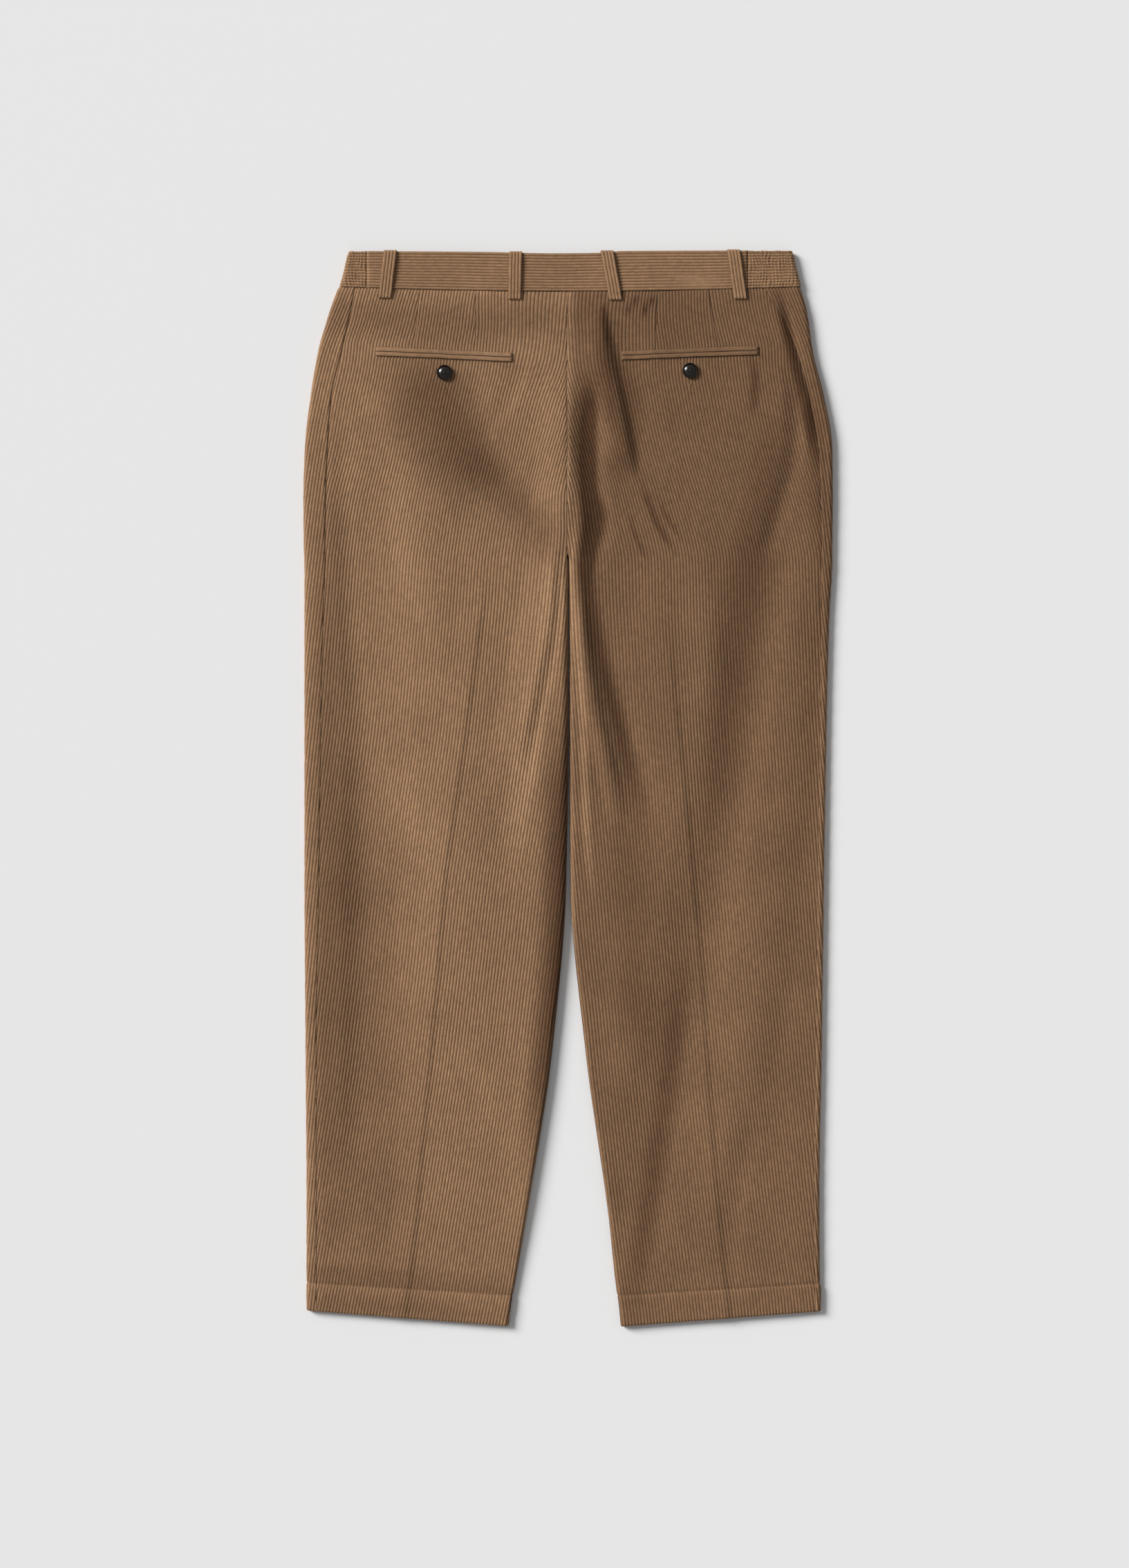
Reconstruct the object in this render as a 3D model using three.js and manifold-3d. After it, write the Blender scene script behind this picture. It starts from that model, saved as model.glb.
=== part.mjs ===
// Corduroy trousers laid flat with the back up. Millimetres, +Z up, +Y towards the waist.
// The legs are flattened tubes: the front panels lie on the ground, turn up round the outer edge
// and meet the back panels at the side seams. The wales of the cloth are raised on the outside.
import * as THREE from 'three';
import { mergeVertices } from 'three/addons/utils/BufferGeometryUtils.js';
import Module from 'manifold-3d';

// Cloth
const WALL = 1.3;
const WALE_RISE = 0.6;
const WALE_PITCH = 3.05;
const SEAM_GAP = 0.3;
const REST_GAP = 0.4;
const EDGE_MARGIN = 0.7;
const DART_GROOVE = 0.7;

// Hem: the cloth is double below its stitch line
const HEM_DEPTH = 27.5;
const HEM_WALL = 2.1;

// Waistband
const BAND_WALL = 2.5;
const BAND_TOP = 7.7;
const BAND_WALES = 13;
const BAND_WALE_RISE = 0.45;
const BAND_EDGE_DIP = 0.5;
const SHIRR_RISE = 0.65;
const ELASTIC_FLOOR_REACH = 22;
const PLEAT = 3.4;

// Trims
const LOOP_WIDTH = 12.5;
const LOOP_WALL = 1.5;
const LOOP_WALES = 4;
const WELT_LENGTH = 132;
const WELT_DEPTH = 4;
const WELT_RISE = 1.3;
const BUTTON_DIAMETER = 15;
const BUTTON_RISE = 3;
const PLACKET = { width: 38, length: 170, wall: 1.5 };

// The centre back seam's place across the garment, and where the legs part
const CENTRE_BACK = -1;
const LEG_START = 240;
const LEG_GROWTH = 40;

// The cloth's height falls off over the last stretch to the outer roll. The legs swell by a share
// of their height over a stretch to the inseam, down to a flat stretch above the hem.
const OUTER_STRETCH = 40;
const INNER_SWELL = { left: { share: 0.42, stretch: 34 }, right: { share: 0.1, stretch: 30 } };
const HEM_FLAT = 120;

// Folds start this far in from a rolled edge. The wales flatten out towards the ground, by this
// share of the roll's radius before they reach it.
const ROLL_HOLD = 14;
const FLOOR_FADE = 0.35;

// Sections from waist to hem, shared by both legs: y at 150 mm off centre, and the row's slope.
// top is the cloth's height halfway across, edge its height at the outer roll.
const SECTIONS = [
  { name: 'waist', y: 483, slope: 0.02, top: 7.2, edge: 7.0, wall: WALL },
  { name: 'darts', y: 457, slope: 0.02, top: 7.7, edge: 7.1, wall: WALL },
  { name: 'pockets', y: 420, slope: 0.04, top: 8.1, edge: 7.2, wall: WALL },
  { name: 'seat', y: 378, slope: 0.01, top: 8.3, edge: 7.2, wall: WALL },
  { name: 'hip', y: 330, slope: 0, top: 8.2, edge: 7.2, wall: WALL },
  { name: 'under_seat', y: 279, slope: 0, top: 7.8, edge: 7.0, wall: WALL },
  { name: 'fork', y: 228, slope: 0, top: 7.3, edge: 6.7, wall: WALL },
  { name: 'leg_start', y: 220, slope: 0, top: 7.2, edge: 6.6, wall: WALL },
  { name: 'thigh', y: 160, slope: 0, top: 6.9, edge: 6.4, wall: WALL },
  { name: 'mid_thigh', y: 55, slope: 0, top: 6.6, edge: 6.2, wall: WALL },
  { name: 'knee', y: -94, slope: 0.01, top: 6.5, edge: 6.2, wall: WALL },
  { name: 'calf', y: -250, slope: 0.03, top: 6.4, edge: 6.1, wall: WALL },
  { name: 'ankle', y: -410, slope: 0.05, top: 6.3, edge: 6.0, wall: WALL },
  { name: 'hem_stitch', y: -486.5, slope: 0.06, top: 6.1, edge: 5.9, wall: WALL + 0.2 },
  { name: 'hem_band', y: -491, slope: 0.065, top: 6.8, edge: 6.5, wall: HEM_WALL },
  { name: 'hem_edge', y: -488 - HEM_DEPTH, slope: 0.077, top: 6.7, edge: 6.4, wall: HEM_WALL },
];

// Cut of each side at those sections, as distances outward from the middle of the garment:
// inner edge, the wale that runs down the middle of the panel, side seam and outer edge.
const CUT = {
  left: {
    sign: -1,
    inner: [1.15, 1.15, 1.15, 1.15, 1.15, 1.15, 1.15, 0.9, 0.6, 0.5, 2.7, 16, 41, 54.5, 55.5, 58.5],
    spine: [72.5, 72.5, 75, 83.5, 93, 105.5, 114, 115, 120, 131, 153, 173, 199, 212, 213, 218],
    seam: [207, 212, 220, 230, 233.5, 235.5, 236, 236, 238, 240, 242, 244.5, 244.5, 244.5, 244.5, 244.5],
    outer: [223, 232.5, 242.5, 250, 255.5, 257, 256.5, 256, 256, 256, 256, 255, 254, 254, 254, 254],
  },
  right: {
    sign: 1,
    inner: [-0.85, -0.85, -0.85, -0.85, -0.85, -0.85, -0.85, 0.2, 1.4, 1.5, 2.7, 17, 39.5, 48, 49, 51.5],
    spine: [83, 80, 80, 85.5, 95.5, 110.5, 124, 125, 127, 133, 145, 161, 180, 191, 192, 195],
    seam: [190, 207, 222, 234, 242.5, 245, 246, 245.5, 245, 244, 242, 240.5, 238.5, 239, 239.5, 240],
    outer: [225, 232, 237, 248, 256, 256.5, 256, 256, 253, 250.5, 248, 246, 243.5, 244, 245, 245],
  },
};

// Darts, from the waist seam down to the tip; turn is the grain's change of slope across each
const DARTS = {
  left: [
    { waist: 90, tip: 90, tipY: 434, turn: 0.24 },
    { waist: 144, tip: 149, tipY: 429, turn: 0.2 },
  ],
  right: [
    { waist: 87, tip: 84, tipY: 427, turn: 0.24 },
    { waist: 136, tip: 145, tipY: 427, turn: 0.2 },
  ],
};

// Pressed creases down the back of each leg: y, distance outward
const CREASE = {
  left: [[216, 80], [140, 90], [65, 100.5], [-92, 122], [-178, 129], [-314, 141], [-428, 151], [-512, 160]],
  right: [[162, 96], [91, 100.5], [25, 108], [-111, 120.5], [-172, 126], [-282, 133], [-396, 141.5], [-512, 153]],
};
const CREASE_RISE = 1;
const CREASE_REACH = { left: 22, right: 6 };
const CREASE_START = 60;

// Folds of the upper side: path from top to bottom in x and y, rise of the crest (a trough is
// negative), and how far the slope reaches to the viewer's left and right of the path
const FOLDS = [
  { name: 'left centre ridge', path: [[-5, 430], [-5, 330], [-9, 250], [-16, 190], [-30, 120], [-44, 60], [-58, -20]],
    rise: 4, left: 32, right: 15 },
  { name: 'centre back valley', path: [[24, 415], [19, 342], [22, 290], [27, 253], [17, 205]],
    rise: -3.2, left: 17, right: 20 },
  { name: 'right fork ridge', path: [[5, 218], [11, 155], [22, 85], [38, 15], [54, -50]],
    rise: 2.8, left: 12, right: 12 },
  { name: 'right fork valley', path: [[16, 212], [27, 140], [46, 60], [66, -10], [88, -70]],
    rise: -2.6, left: 15, right: 34 },
  { name: 'right seat fold', path: [[26, 472], [35, 420], [44, 376], [52, 336], [58, 294]],
    rise: 4.2, left: 30, right: 13 },
  { name: 'right seat trough', path: [[44, 462], [56, 400], [68, 335], [76, 286]], rise: -2.4, left: 12, right: 34 },
  { name: 'left outer trough', path: [[-214, 340], [-203, 200], [-197, 60], [-197, -120], [-198, -300], [-196, -450]],
    rise: -3.2, left: 26, right: 52 },
  { name: 'left leg crest', path: [[-142, 340], [-128, 220], [-112, 120], [-105, 20], [-112, -100], [-122, -220],
    [-132, -340]], rise: 2.2, left: 60, right: 60 },
  { name: 'left seat slope', path: [[-185, 400], [-168, 345], [-135, 290], [-100, 262]],
    rise: 1.8, left: 30, right: 34 },
  { name: 'left seat drag', path: [[-100, 405], [-84, 340], [-60, 295], [-28, 260]],
    rise: -2.2, left: 42, right: 20 },
  { name: 'left pocket edge', path: [[-41, 424], [-50, 388], [-74, 350], [-88, 326]],
    rise: -0.8, left: 20, right: 8 },
  { name: 'right leg crest', path: [[92, 270], [92, 150], [96, 50], [88, -80], [70, -200], [60, -330]],
    rise: 2.5, left: 40, right: 70 },
  { name: 'right leg trough', path: [[222, 345], [204, 253], [184, 179], [169, 105], [154, 16], [136, -88],
    [121, -177], [95, -281], [72, -393], [60, -467]], rise: -2.8, left: 44, right: 40 },
  { name: 'right outer swell', path: [[232, 250], [222, 150], [212, 40], [200, -80], [185, -200], [165, -330],
    [150, -430]], rise: 1.8, left: 40, right: 32 },
  { name: 'right side groove', path: [[205, 474], [222, 425], [236, 380], [245, 330]], rise: -2, left: 8, right: 7 },
  { name: 'right hip trough', path: [[212, 425], [222, 372], [220, 325], [206, 270], [190, 215]],
    rise: -2.6, left: 15, right: 11 },
  { name: 'under the right seat', path: [[-2, 303], [20, 299], [40, 302], [74, 304]], rise: -1.2, left: 5, right: 5 },
  { name: 'beside the seam', path: [[2, 375], [14, 384], [26, 388]], rise: 1.2, left: 4, right: 5 },
  { name: 'right ankle trough', path: [[183, -303], [164, -393], [150, -484]], rise: -1.2, left: 20, right: 16 },
];
const FOLD_FADE = 0.22;

// Waistband: its top edge over x, and its outer edge at the top and at the waist seam
const BAND_EDGE = [[-214, 520.3], [-80, 519.3], [-15, 518], [28, 518.5], [54, 520.3], [218, 520.9]];
const BAND_OUTER = { left: { top: 213.5, seam: 222.5 }, right: { top: 217.5, seam: 226.5 } };
const ELASTIC_START = { left: 195.5, right: 174 };

// Belt loops: x at the band's top edge and at the lower end
const LOOPS = [
  { top: -172.5, foot: -178, drop: 45.5 },
  { top: -51, foot: -52, drop: 45.5 },
  { top: 37.5, foot: 46, drop: 47 },
  { top: 160, foot: 167, drop: 47 },
];

// Back pockets: the mouth's middle and slope, and the button
const POCKETS = {
  left: { out: 120.5, y: 419.8, slope: 0.045, button: { out: 120, y: 402 } },
  right: { out: 118, y: 421.2, slope: 0.036, button: { out: 118, y: 404 } },
};

const wasm = await Module();
wasm.setup();

const clamp = (value, low, high) => Math.min(high, Math.max(low, value));
const ease = (value) => {
  const t = clamp(value, 0, 1);
  return t * t * (3 - 2 * t);
};

// Straight-line reading of a table of pairs
function readPairs(pairs, at) {
  const rising = pairs[0][0] < pairs[pairs.length - 1][0];
  const list = rising ? pairs : [...pairs].reverse();
  let k = 0;
  while (k < list.length - 2 && at > list[k + 1][0]) k += 1;
  const [a, b] = [list[k], list[k + 1]];
  return a[1] + ((b[1] - a[1]) * clamp((at - a[0]) / (b[0] - a[0]), 0, 1));
}

const sectionPairs = (values) => SECTIONS.map((section, k) => [section.y, values[k]]);
const WAIST = SECTIONS[0].y;
const HEM_STITCH = SECTIONS.find((section) => section.name === 'hem_stitch').y;
const topPairs = sectionPairs(SECTIONS.map((section) => section.top));
const edgePairs = sectionPairs(SECTIONS.map((section) => section.edge));
const cutAt = (side, column, y) => readPairs(sectionPairs(CUT[side][column]), y);

// Height of one fold at a point: a soft bell across the path, fading towards its ends
function foldHeight(fold, x, y) {
  const lengths = fold.path.slice(1).map((end, k) => Math.hypot(end[0] - fold.path[k][0], end[1] - fold.path[k][1]));
  const whole = lengths.reduce((sum, length) => sum + length, 0);
  let nearest = { distance: Infinity };
  let before = 0;
  lengths.forEach((length, k) => {
    const [ax, ay] = fold.path[k];
    const [dx, dy] = [(fold.path[k + 1][0] - ax) / length, (fold.path[k + 1][1] - ay) / length];
    const run = clamp((x - ax) * dx + (y - ay) * dy, 0, length);
    const [px, py] = [x - ax - run * dx, y - ay - run * dy];
    const distance = Math.hypot(px, py);
    if (distance < nearest.distance) {
      nearest = { distance, along: (before + run) / whole, right: dx * py - dy * px > 0 };
    }
    before += length;
  });
  const reach = nearest.distance / (nearest.right ? fold.right : fold.left);
  if (reach >= 1) return 0;
  const fade = ease(nearest.along / FOLD_FADE) * ease((1 - nearest.along) / FOLD_FADE);
  return fold.rise * fade * (1 - reach * reach) ** 2;
}

// Height of the cloth's upper side between wales, at a distance outward and a y
function clothHeight(side, out, y) {
  const top = readPairs(topPairs, y);
  const edge = readPairs(edgePairs, y);
  const fromOuter = cutAt(side, 'outer', y) - out;
  const fromInner = out - cutAt(side, 'inner', y);
  const leg = ease((LEG_START - y) / LEG_GROWTH);
  const outerFall = (1 - clamp(fromOuter / OUTER_STRETCH, 0, 1)) ** 2;
  const { share, stretch } = INNER_SWELL[side];
  const swell = share * leg * ease((y - HEM_STITCH) / HEM_FLAT) * (1 - clamp(fromInner / stretch, 0, 1)) ** 2;
  let height = top - (top - edge) * outerFall + top * swell;
  const x = out * CUT[side].sign;
  const fromRoll = (distance) => ease((distance - edge / 2) / ROLL_HOLD);
  const hold = fromRoll(fromOuter) * (1 - leg * (1 - fromRoll(fromInner)));
  height += hold * FOLDS.reduce((sum, fold) => sum + foldHeight(fold, x, y), 0);
  const fromCrease = x - CUT[side].sign * readPairs(CREASE[side], y);
  const creaseReach = fromCrease < 0 ? CREASE_REACH.left : CREASE_REACH.right;
  const creaseStart = ease((CREASE[side][0][0] - y) / CREASE_START);
  height += CREASE_RISE * creaseStart * clamp(1 - Math.abs(fromCrease) / creaseReach, 0, 1);
  return height;
}

// The first section that lies below the fork, where the legs part
const FIRST_LEG_SECTION = SECTIONS.findIndex((section) => section.name === 'leg_start');

// y of a section's row at a distance outward; the first row follows the waist seam
const waistSeam = (x) => 481 + 4.3 * (x / 222) ** 2;
function rowY(side, k, out) {
  if (k === 0) return waistSeam(out * CUT[side].sign) - SEAM_GAP / 2;
  return SECTIONS[k].y + SECTIONS[k].slope * (out - 150);
}

// Links two rows of points into triangles, keeping equal positions t together
function zip(a, b, triangles) {
  let [j, k] = [0, 0];
  while (j < a.length - 1 || k < b.length - 1) {
    const stepA = k === b.length - 1 || (j < a.length - 1 && a[j + 1].t <= b[k + 1].t);
    if (stepA) {
      triangles.push(a[j], a[j + 1], b[k]);
      j += 1;
    } else {
      triangles.push(a[j], b[k + 1], b[k]);
      k += 1;
    }
  }
}

// A closed wall from rows of outer points and rows of inner points
function wall(outer, inner) {
  const triangles = [];
  const turned = (row) => [...row].reverse().map((point) => ({ t: -point.t, from: point }));
  const last = (row) => row[row.length - 1];
  for (let k = 0; k < outer.length - 1; k += 1) {
    zip(outer[k], outer[k + 1], triangles);
    zip(turned(inner[k]), turned(inner[k + 1]), triangles);
    triangles.push(last(outer[k]), last(inner[k]), last(outer[k + 1]));
    triangles.push(last(inner[k]), last(inner[k + 1]), last(outer[k + 1]));
    triangles.push(inner[k][0], outer[k][0], inner[k + 1][0]);
    triangles.push(outer[k][0], outer[k + 1][0], inner[k + 1][0]);
  }
  zip(inner[0], outer[0], triangles);
  zip(last(outer), last(inner), triangles);
  const numbers = new Map();
  const positions = [];
  let index = triangles.map((point) => {
    const corner = point.from ?? point;
    if (!numbers.has(corner)) {
      numbers.set(corner, numbers.size);
      positions.push(...corner.at);
    }
    return numbers.get(corner);
  });
  if (signedVolume(positions, index) < 0) index = [...index].reverse();
  const geometry = new THREE.BufferGeometry();
  geometry.setAttribute('position', new THREE.Float32BufferAttribute(positions, 3));
  geometry.setIndex(index);
  return geometry;
}

function signedVolume(positions, index) {
  const corner = (k) => new THREE.Vector3().fromArray(positions, index[k] * 3);
  let sum = 0;
  for (let k = 0; k < index.length; k += 3) {
    sum += corner(k).dot(corner(k + 1).cross(corner(k + 2)));
  }
  return sum / 6;
}

// Where the wales cross a row of the back panel. Each dart takes up some wales: the ones that
// reach its line from either side end there.
function grainShift(side, out, y) {
  let shift = 0;
  for (const dart of DARTS[side]) {
    const above = Math.max(0, y - dart.tipY);
    const line = dart.tip + (dart.waist - dart.tip) * clamp(above / (WAIST - dart.tipY), 0, 1);
    if (out > line) shift -= above * dart.turn;
  }
  return shift;
}

function waleAt(side, k, out) {
  const y = SECTIONS[k].y;
  return (out - CUT[side].spine[k] - grainShift(side, out, y)) / WALE_PITCH;
}

function waleCrossings(side, k, from, to, step) {
  const y = SECTIONS[k].y;
  const lines = DARTS[side].filter((dart) => y > dart.tipY)
    .map((dart) => dart.tip + (dart.waist - dart.tip) * ((y - dart.tipY) / (WAIST - dart.tipY)));
  const bounds = [from, ...lines.sort((a, b) => a - b), to];
  const crossings = [];
  for (let zone = 0; zone < bounds.length - 1; zone += 1) {
    const [low, high] = [bounds[zone] + EDGE_MARGIN, bounds[zone + 1] - EDGE_MARGIN];
    const first = Math.ceil(waleAt(side, k, low) / step) * step;
    const offset = low - waleAt(side, k, low) * WALE_PITCH;
    for (let wale = first; offset + wale * WALE_PITCH < high; wale += step) {
      crossings.push({ t: wale, out: offset + wale * WALE_PITCH, groove: false });
    }
    if (zone < bounds.length - 2) {
      crossings.push({ t: waleAt(side, k, bounds[zone + 1] - 0.01), out: bounds[zone + 1], groove: true });
    }
  }
  return crossings.filter((here, n) => n === 0 || here.t > crossings[n - 1].t);
}

const relief = (wale) => (Math.abs(wale - Math.round(wale)) < 0.1 ? WALE_RISE : 0);

// The back panel: flat rows above the fork, rolled down to the inseam below it
function backPanel(side) {
  const sign = CUT[side].sign;
  const rows = SECTIONS.map((section, k) => {
    const from = CUT[side].inner[k];
    const to = CUT[side].seam[k] - SEAM_GAP / 2;
    const isLeg = k >= FIRST_LEG_SECTION;
    const rollStart = clothHeight(side, from + 3, section.y);
    const radius = isLeg ? rollStart / 2 - SEAM_GAP / 2 : 0;
    const bend = from + radius;
    const unrolled = bend - radius * Math.PI / 2;
    const place = (out, lift) => {
      if (isLeg && out < bend) {
        const angle = (bend - out) / radius;
        const reach = radius + lift;
        const [u, z] = [bend - reach * Math.sin(angle), rollStart - radius + reach * Math.cos(angle)];
        return [u * sign, rowY(side, k, u), z];
      }
      return [out * sign, rowY(side, k, out), clothHeight(side, out, section.y) + lift];
    };
    const start = isLeg ? unrolled : from;
    const ends = [{ t: waleAt(side, k, start), out: start }, { t: waleAt(side, k, to), out: to }];
    const outerMiddle = waleCrossings(side, k, start, to, 0.5);
    const innerMiddle = waleCrossings(side, k, start, to, isLeg ? 5 : 2.5);
    const outerRow = [ends[0], ...outerMiddle, ends[1]].map((point) => ({
      t: point.t, at: place(point.out, point.groove ? -DART_GROOVE : relief(point.t)),
    }));
    const innerRow = [ends[0], ...innerMiddle, ends[1]].map((point) => ({
      t: point.t, at: place(point.out, -section.wall),
    }));
    return { outerRow, innerRow };
  });
  return wall(rows.map((row) => row.outerRow), rows.map((row) => row.innerRow));
}

// The front panel: from the side seam outward, round the outer edge, along the ground to the
// centre front or, on the leg, up to the inseam. Its wales are counted from the ground up.
function frontPanel(side) {
  const sign = CUT[side].sign;
  const floorSteps = 5;
  const rows = SECTIONS.map((section, k) => {
    const isLeg = k >= FIRST_LEG_SECTION;
    const seam = CUT[side].seam[k] + SEAM_GAP / 2;
    const edge = CUT[side].outer[k] - WALE_RISE / 2;
    const radius = clothHeight(side, edge - section.edge / 2, section.y) / 2;
    const turn = edge - radius;
    const topEnd = turn - seam;
    const rollEnd = topEnd + Math.PI * radius;
    const waleOf = (run) => (run - rollEnd) / WALE_PITCH;
    const place = (run, lift) => {
      if (run <= topEnd) {
        const out = seam + run;
        return [out * sign, rowY(side, k, out), clothHeight(side, out, section.y) + lift];
      }
      const angle = (run - topEnd) / radius;
      const reach = radius + lift;
      const out = turn + reach * Math.sin(angle);
      return [out * sign, rowY(side, k, out), Math.max(0, radius + reach * Math.cos(angle))];
    };
    const fadeAtFloor = (run) => clamp((rollEnd - run) / radius - FLOOR_FADE, 0, 1);
    const outerRow = [{ t: waleOf(0), at: place(0, relief(waleOf(0))) }];
    const first = Math.ceil(waleOf(EDGE_MARGIN) * 2) / 2;
    for (let wale = first; wale < waleOf(rollEnd - EDGE_MARGIN); wale += 0.5) {
      const run = rollEnd + wale * WALE_PITCH;
      outerRow.push({ t: wale, at: place(run, relief(wale) * fadeAtFloor(run)) });
    }
    outerRow.push({ t: waleOf(rollEnd), at: place(rollEnd, 0) });
    const innerRow = [0, 0.5, 1].map((share) => share * topEnd)
      .concat([0.25, 0.5, 0.75, 1].map((share) => topEnd + share * Math.PI * radius))
      .map((run) => ({ t: waleOf(run), at: place(run, -section.wall) }));
    const inner = CUT[side].inner[k];
    const rollHeight = clothHeight(side, inner + 3, section.y) / 2 - SEAM_GAP / 2;
    const floorEnd = isLeg ? inner + rollHeight : inner;
    for (let step = 1; step <= floorSteps; step += 1) {
      const out = turn + (floorEnd - turn) * (step / floorSteps);
      const t = 200 + step;
      outerRow.push({ t, at: [out * sign, rowY(side, k, out), 0] });
      innerRow.push({ t, at: [out * sign, rowY(side, k, out), section.wall] });
    }
    const curlAt = (reach, angle) => {
      const out = floorEnd - reach * Math.sin(angle);
      return [out * sign, rowY(side, k, out), rollHeight - reach * Math.cos(angle)];
    };
    const curlSteps = isLeg ? [0.5, 1] : [];
    curlSteps.forEach((share, n) => {
      const angle = share * Math.PI / 2;
      outerRow.push({ t: 210 + n, at: curlAt(rollHeight, angle) });
      innerRow.push({ t: 210 + n, at: curlAt(rollHeight - section.wall, angle) });
    });
    return { outerRow, innerRow };
  });
  return wall(rows.map((row) => row.outerRow), rows.map((row) => row.innerRow));
}

// Points across the waistband's depth, from the waist seam to the top edge, wales running along
function bandRow(place, isFlat) {
  const steps = isFlat ? 1 : BAND_WALES * 2;
  const outerRow = [];
  for (let step = 0; step <= steps; step += 1) {
    const share = step / steps;
    const atEdge = step === 0 || step === steps;
    const rise = atEdge ? -BAND_EDGE_DIP : BAND_WALE_RISE * (step % 2);
    outerRow.push({ t: share, at: place(share, isFlat ? 0 : rise) });
  }
  const innerRow = [0, 1].map((share) => ({ t: share, at: place(share, -BAND_WALL) }));
  return { outerRow, innerRow };
}

const bandY = (x, share) => {
  const low = waistSeam(x) + SEAM_GAP / 2;
  return low + (readPairs(BAND_EDGE, x) - low) * share;
};

function backBand() {
  const from = -ELASTIC_START.left + SEAM_GAP / 2;
  const to = ELASTIC_START.right - SEAM_GAP / 2;
  const count = 12;
  const rows = Array.from({ length: count + 1 }, (_, k) => {
    const x = from + (to - from) * (k / count);
    return bandRow((share, lift) => [x, bandY(x, share), BAND_TOP + lift], false);
  });
  return wall(rows.map((row) => row.outerRow), rows.map((row) => row.innerRow));
}

// Shirred side section: from the back band round the outer edge to the ground
function elastic(side) {
  const sign = CUT[side].sign;
  const start = ELASTIC_START[side] + SEAM_GAP / 2;
  const radius = BAND_TOP / 2;
  const outerAt = (share) => BAND_OUTER[side].seam
    + (BAND_OUTER[side].top - BAND_OUTER[side].seam) * share - SHIRR_RISE - radius;
  const topLength = outerAt(0.5) - start;
  const pleats = Math.round(topLength / PLEAT);
  const rows = [];
  const addRow = (spot, pucker, isFlat) => rows.push(bandRow((share, lift) => {
    const { out, normal, z } = spot(share);
    const raised = lift + (lift === -BAND_WALL ? 0 : pucker);
    const x = (out + normal[0] * raised) * sign;
    const ripple = share > 0.99 ? pucker - SHIRR_RISE : 0;
    return [x, bandY(x, share) + ripple, Math.max(0, z + normal[1] * raised)];
  }, isFlat));
  for (let k = 0; k < pleats; k += 1) {
    const spot = (share) => ({ out: start + (outerAt(share) - start) * (k / pleats), normal: [0, 1], z: BAND_TOP });
    addRow(spot, k % 2 ? SHIRR_RISE : 0, false);
  }
  const turnSteps = 4;
  for (let k = 0; k <= turnSteps; k += 1) {
    const angle = Math.PI * (k / turnSteps);
    const normal = [Math.sin(angle), Math.cos(angle)];
    const spot = (share) => ({ out: outerAt(share) + radius * normal[0], normal, z: radius + radius * normal[1] });
    addRow(spot, k % 2 ? SHIRR_RISE : 0, k === turnSteps);
  }
  addRow((share) => ({ out: outerAt(share) - ELASTIC_FLOOR_REACH, normal: [0, -1], z: 0 }), 0, true);
  return wall(rows.map((row) => row.outerRow), rows.map((row) => row.innerRow));
}

// Front half of the waistband, on the ground under the back
function frontBand(side) {
  const sign = CUT[side].sign;
  const radius = BAND_TOP / 2;
  const endAt = (share) => BAND_OUTER[side].seam + (BAND_OUTER[side].top - BAND_OUTER[side].seam) * share
    - SHIRR_RISE - radius - ELASTIC_FLOOR_REACH - SEAM_GAP;
  const inner = CUT[side].inner[0];
  const rows = [0, 0.25, 0.5, 0.75, 1].map((part) => bandRow((share, lift) => {
    const out = inner + (endAt(share) - inner) * part;
    return [out * sign, bandY(out * sign, share), -lift];
  }, true));
  return wall(rows.map((row) => row.outerRow), rows.map((row) => row.innerRow));
}

// Highest point of the wales around a spot of the back panel
function restHeight(x, y, reach) {
  const side = x < CENTRE_BACK ? 'left' : 'right';
  let highest = 0;
  for (const dx of [-1, -0.5, 0, 0.5, 1]) {
    for (const dy of [-1, 0, 1]) {
      const out = Math.abs(x + dx * reach);
      highest = Math.max(highest, clothHeight(side, out, y + dy * reach));
    }
  }
  return highest + WALE_RISE + REST_GAP;
}

// Belt loop: a folded strip with four wales, sewn below the band and turned over its top edge
function beltLoop({ top, foot, drop }) {
  const edgeY = Math.max(...[-0.6, 0, 0.6].map((share) => readPairs(BAND_EDGE, top + share * LOOP_WIDTH)));
  const footY = edgeY - drop;
  const footZ = restHeight(foot, footY + 3, 4) + LOOP_WALL;
  const overBand = BAND_TOP + BAND_WALE_RISE + REST_GAP + LOOP_WALL;
  const behind = REST_GAP + LOOP_WALL;
  const route = [
    [edgeY + behind, 4.2], [edgeY + behind, overBand - 1.8], [edgeY + behind - 0.7, overBand - 0.4],
    [edgeY + behind - 2.4, overBand + 0.5], [edgeY - 11, overBand + 1.0], [edgeY - 25, overBand + 0.9],
    [waistSeam(foot) + 1, Math.max(overBand + 0.3, footZ + 0.2)], [footY + 4, footZ], [footY, footZ],
  ].map(([y, z]) => new THREE.Vector2(y, z));
  const normals = route.map((point, k) => {
    const ahead = route[Math.min(k + 1, route.length - 1)];
    const back = route[Math.max(k - 1, 0)];
    const run = ahead.clone().sub(back).normalize();
    return new THREE.Vector2(run.y, -run.x);
  });
  const rows = route.map((point, k) => {
    const share = clamp((edgeY - point.x) / drop, 0, 1);
    const middle = top + (foot - top) * share;
    const place = (across, lift) => [
      middle + (across - 0.5) * LOOP_WIDTH, point.x + normals[k].x * lift, point.y + normals[k].y * lift,
    ];
    const steps = LOOP_WALES * 2;
    const outerRow = Array.from({ length: steps + 1 }, (_, n) => (
      { t: n / steps, at: place(n / steps, n % 2 ? WALE_RISE : 0) }));
    const innerRow = [0, 1].map((across) => ({ t: across, at: place(across, -LOOP_WALL) }));
    return { outerRow, innerRow };
  });
  return wall(rows.map((row) => row.outerRow), rows.map((row) => row.innerRow));
}

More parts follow.
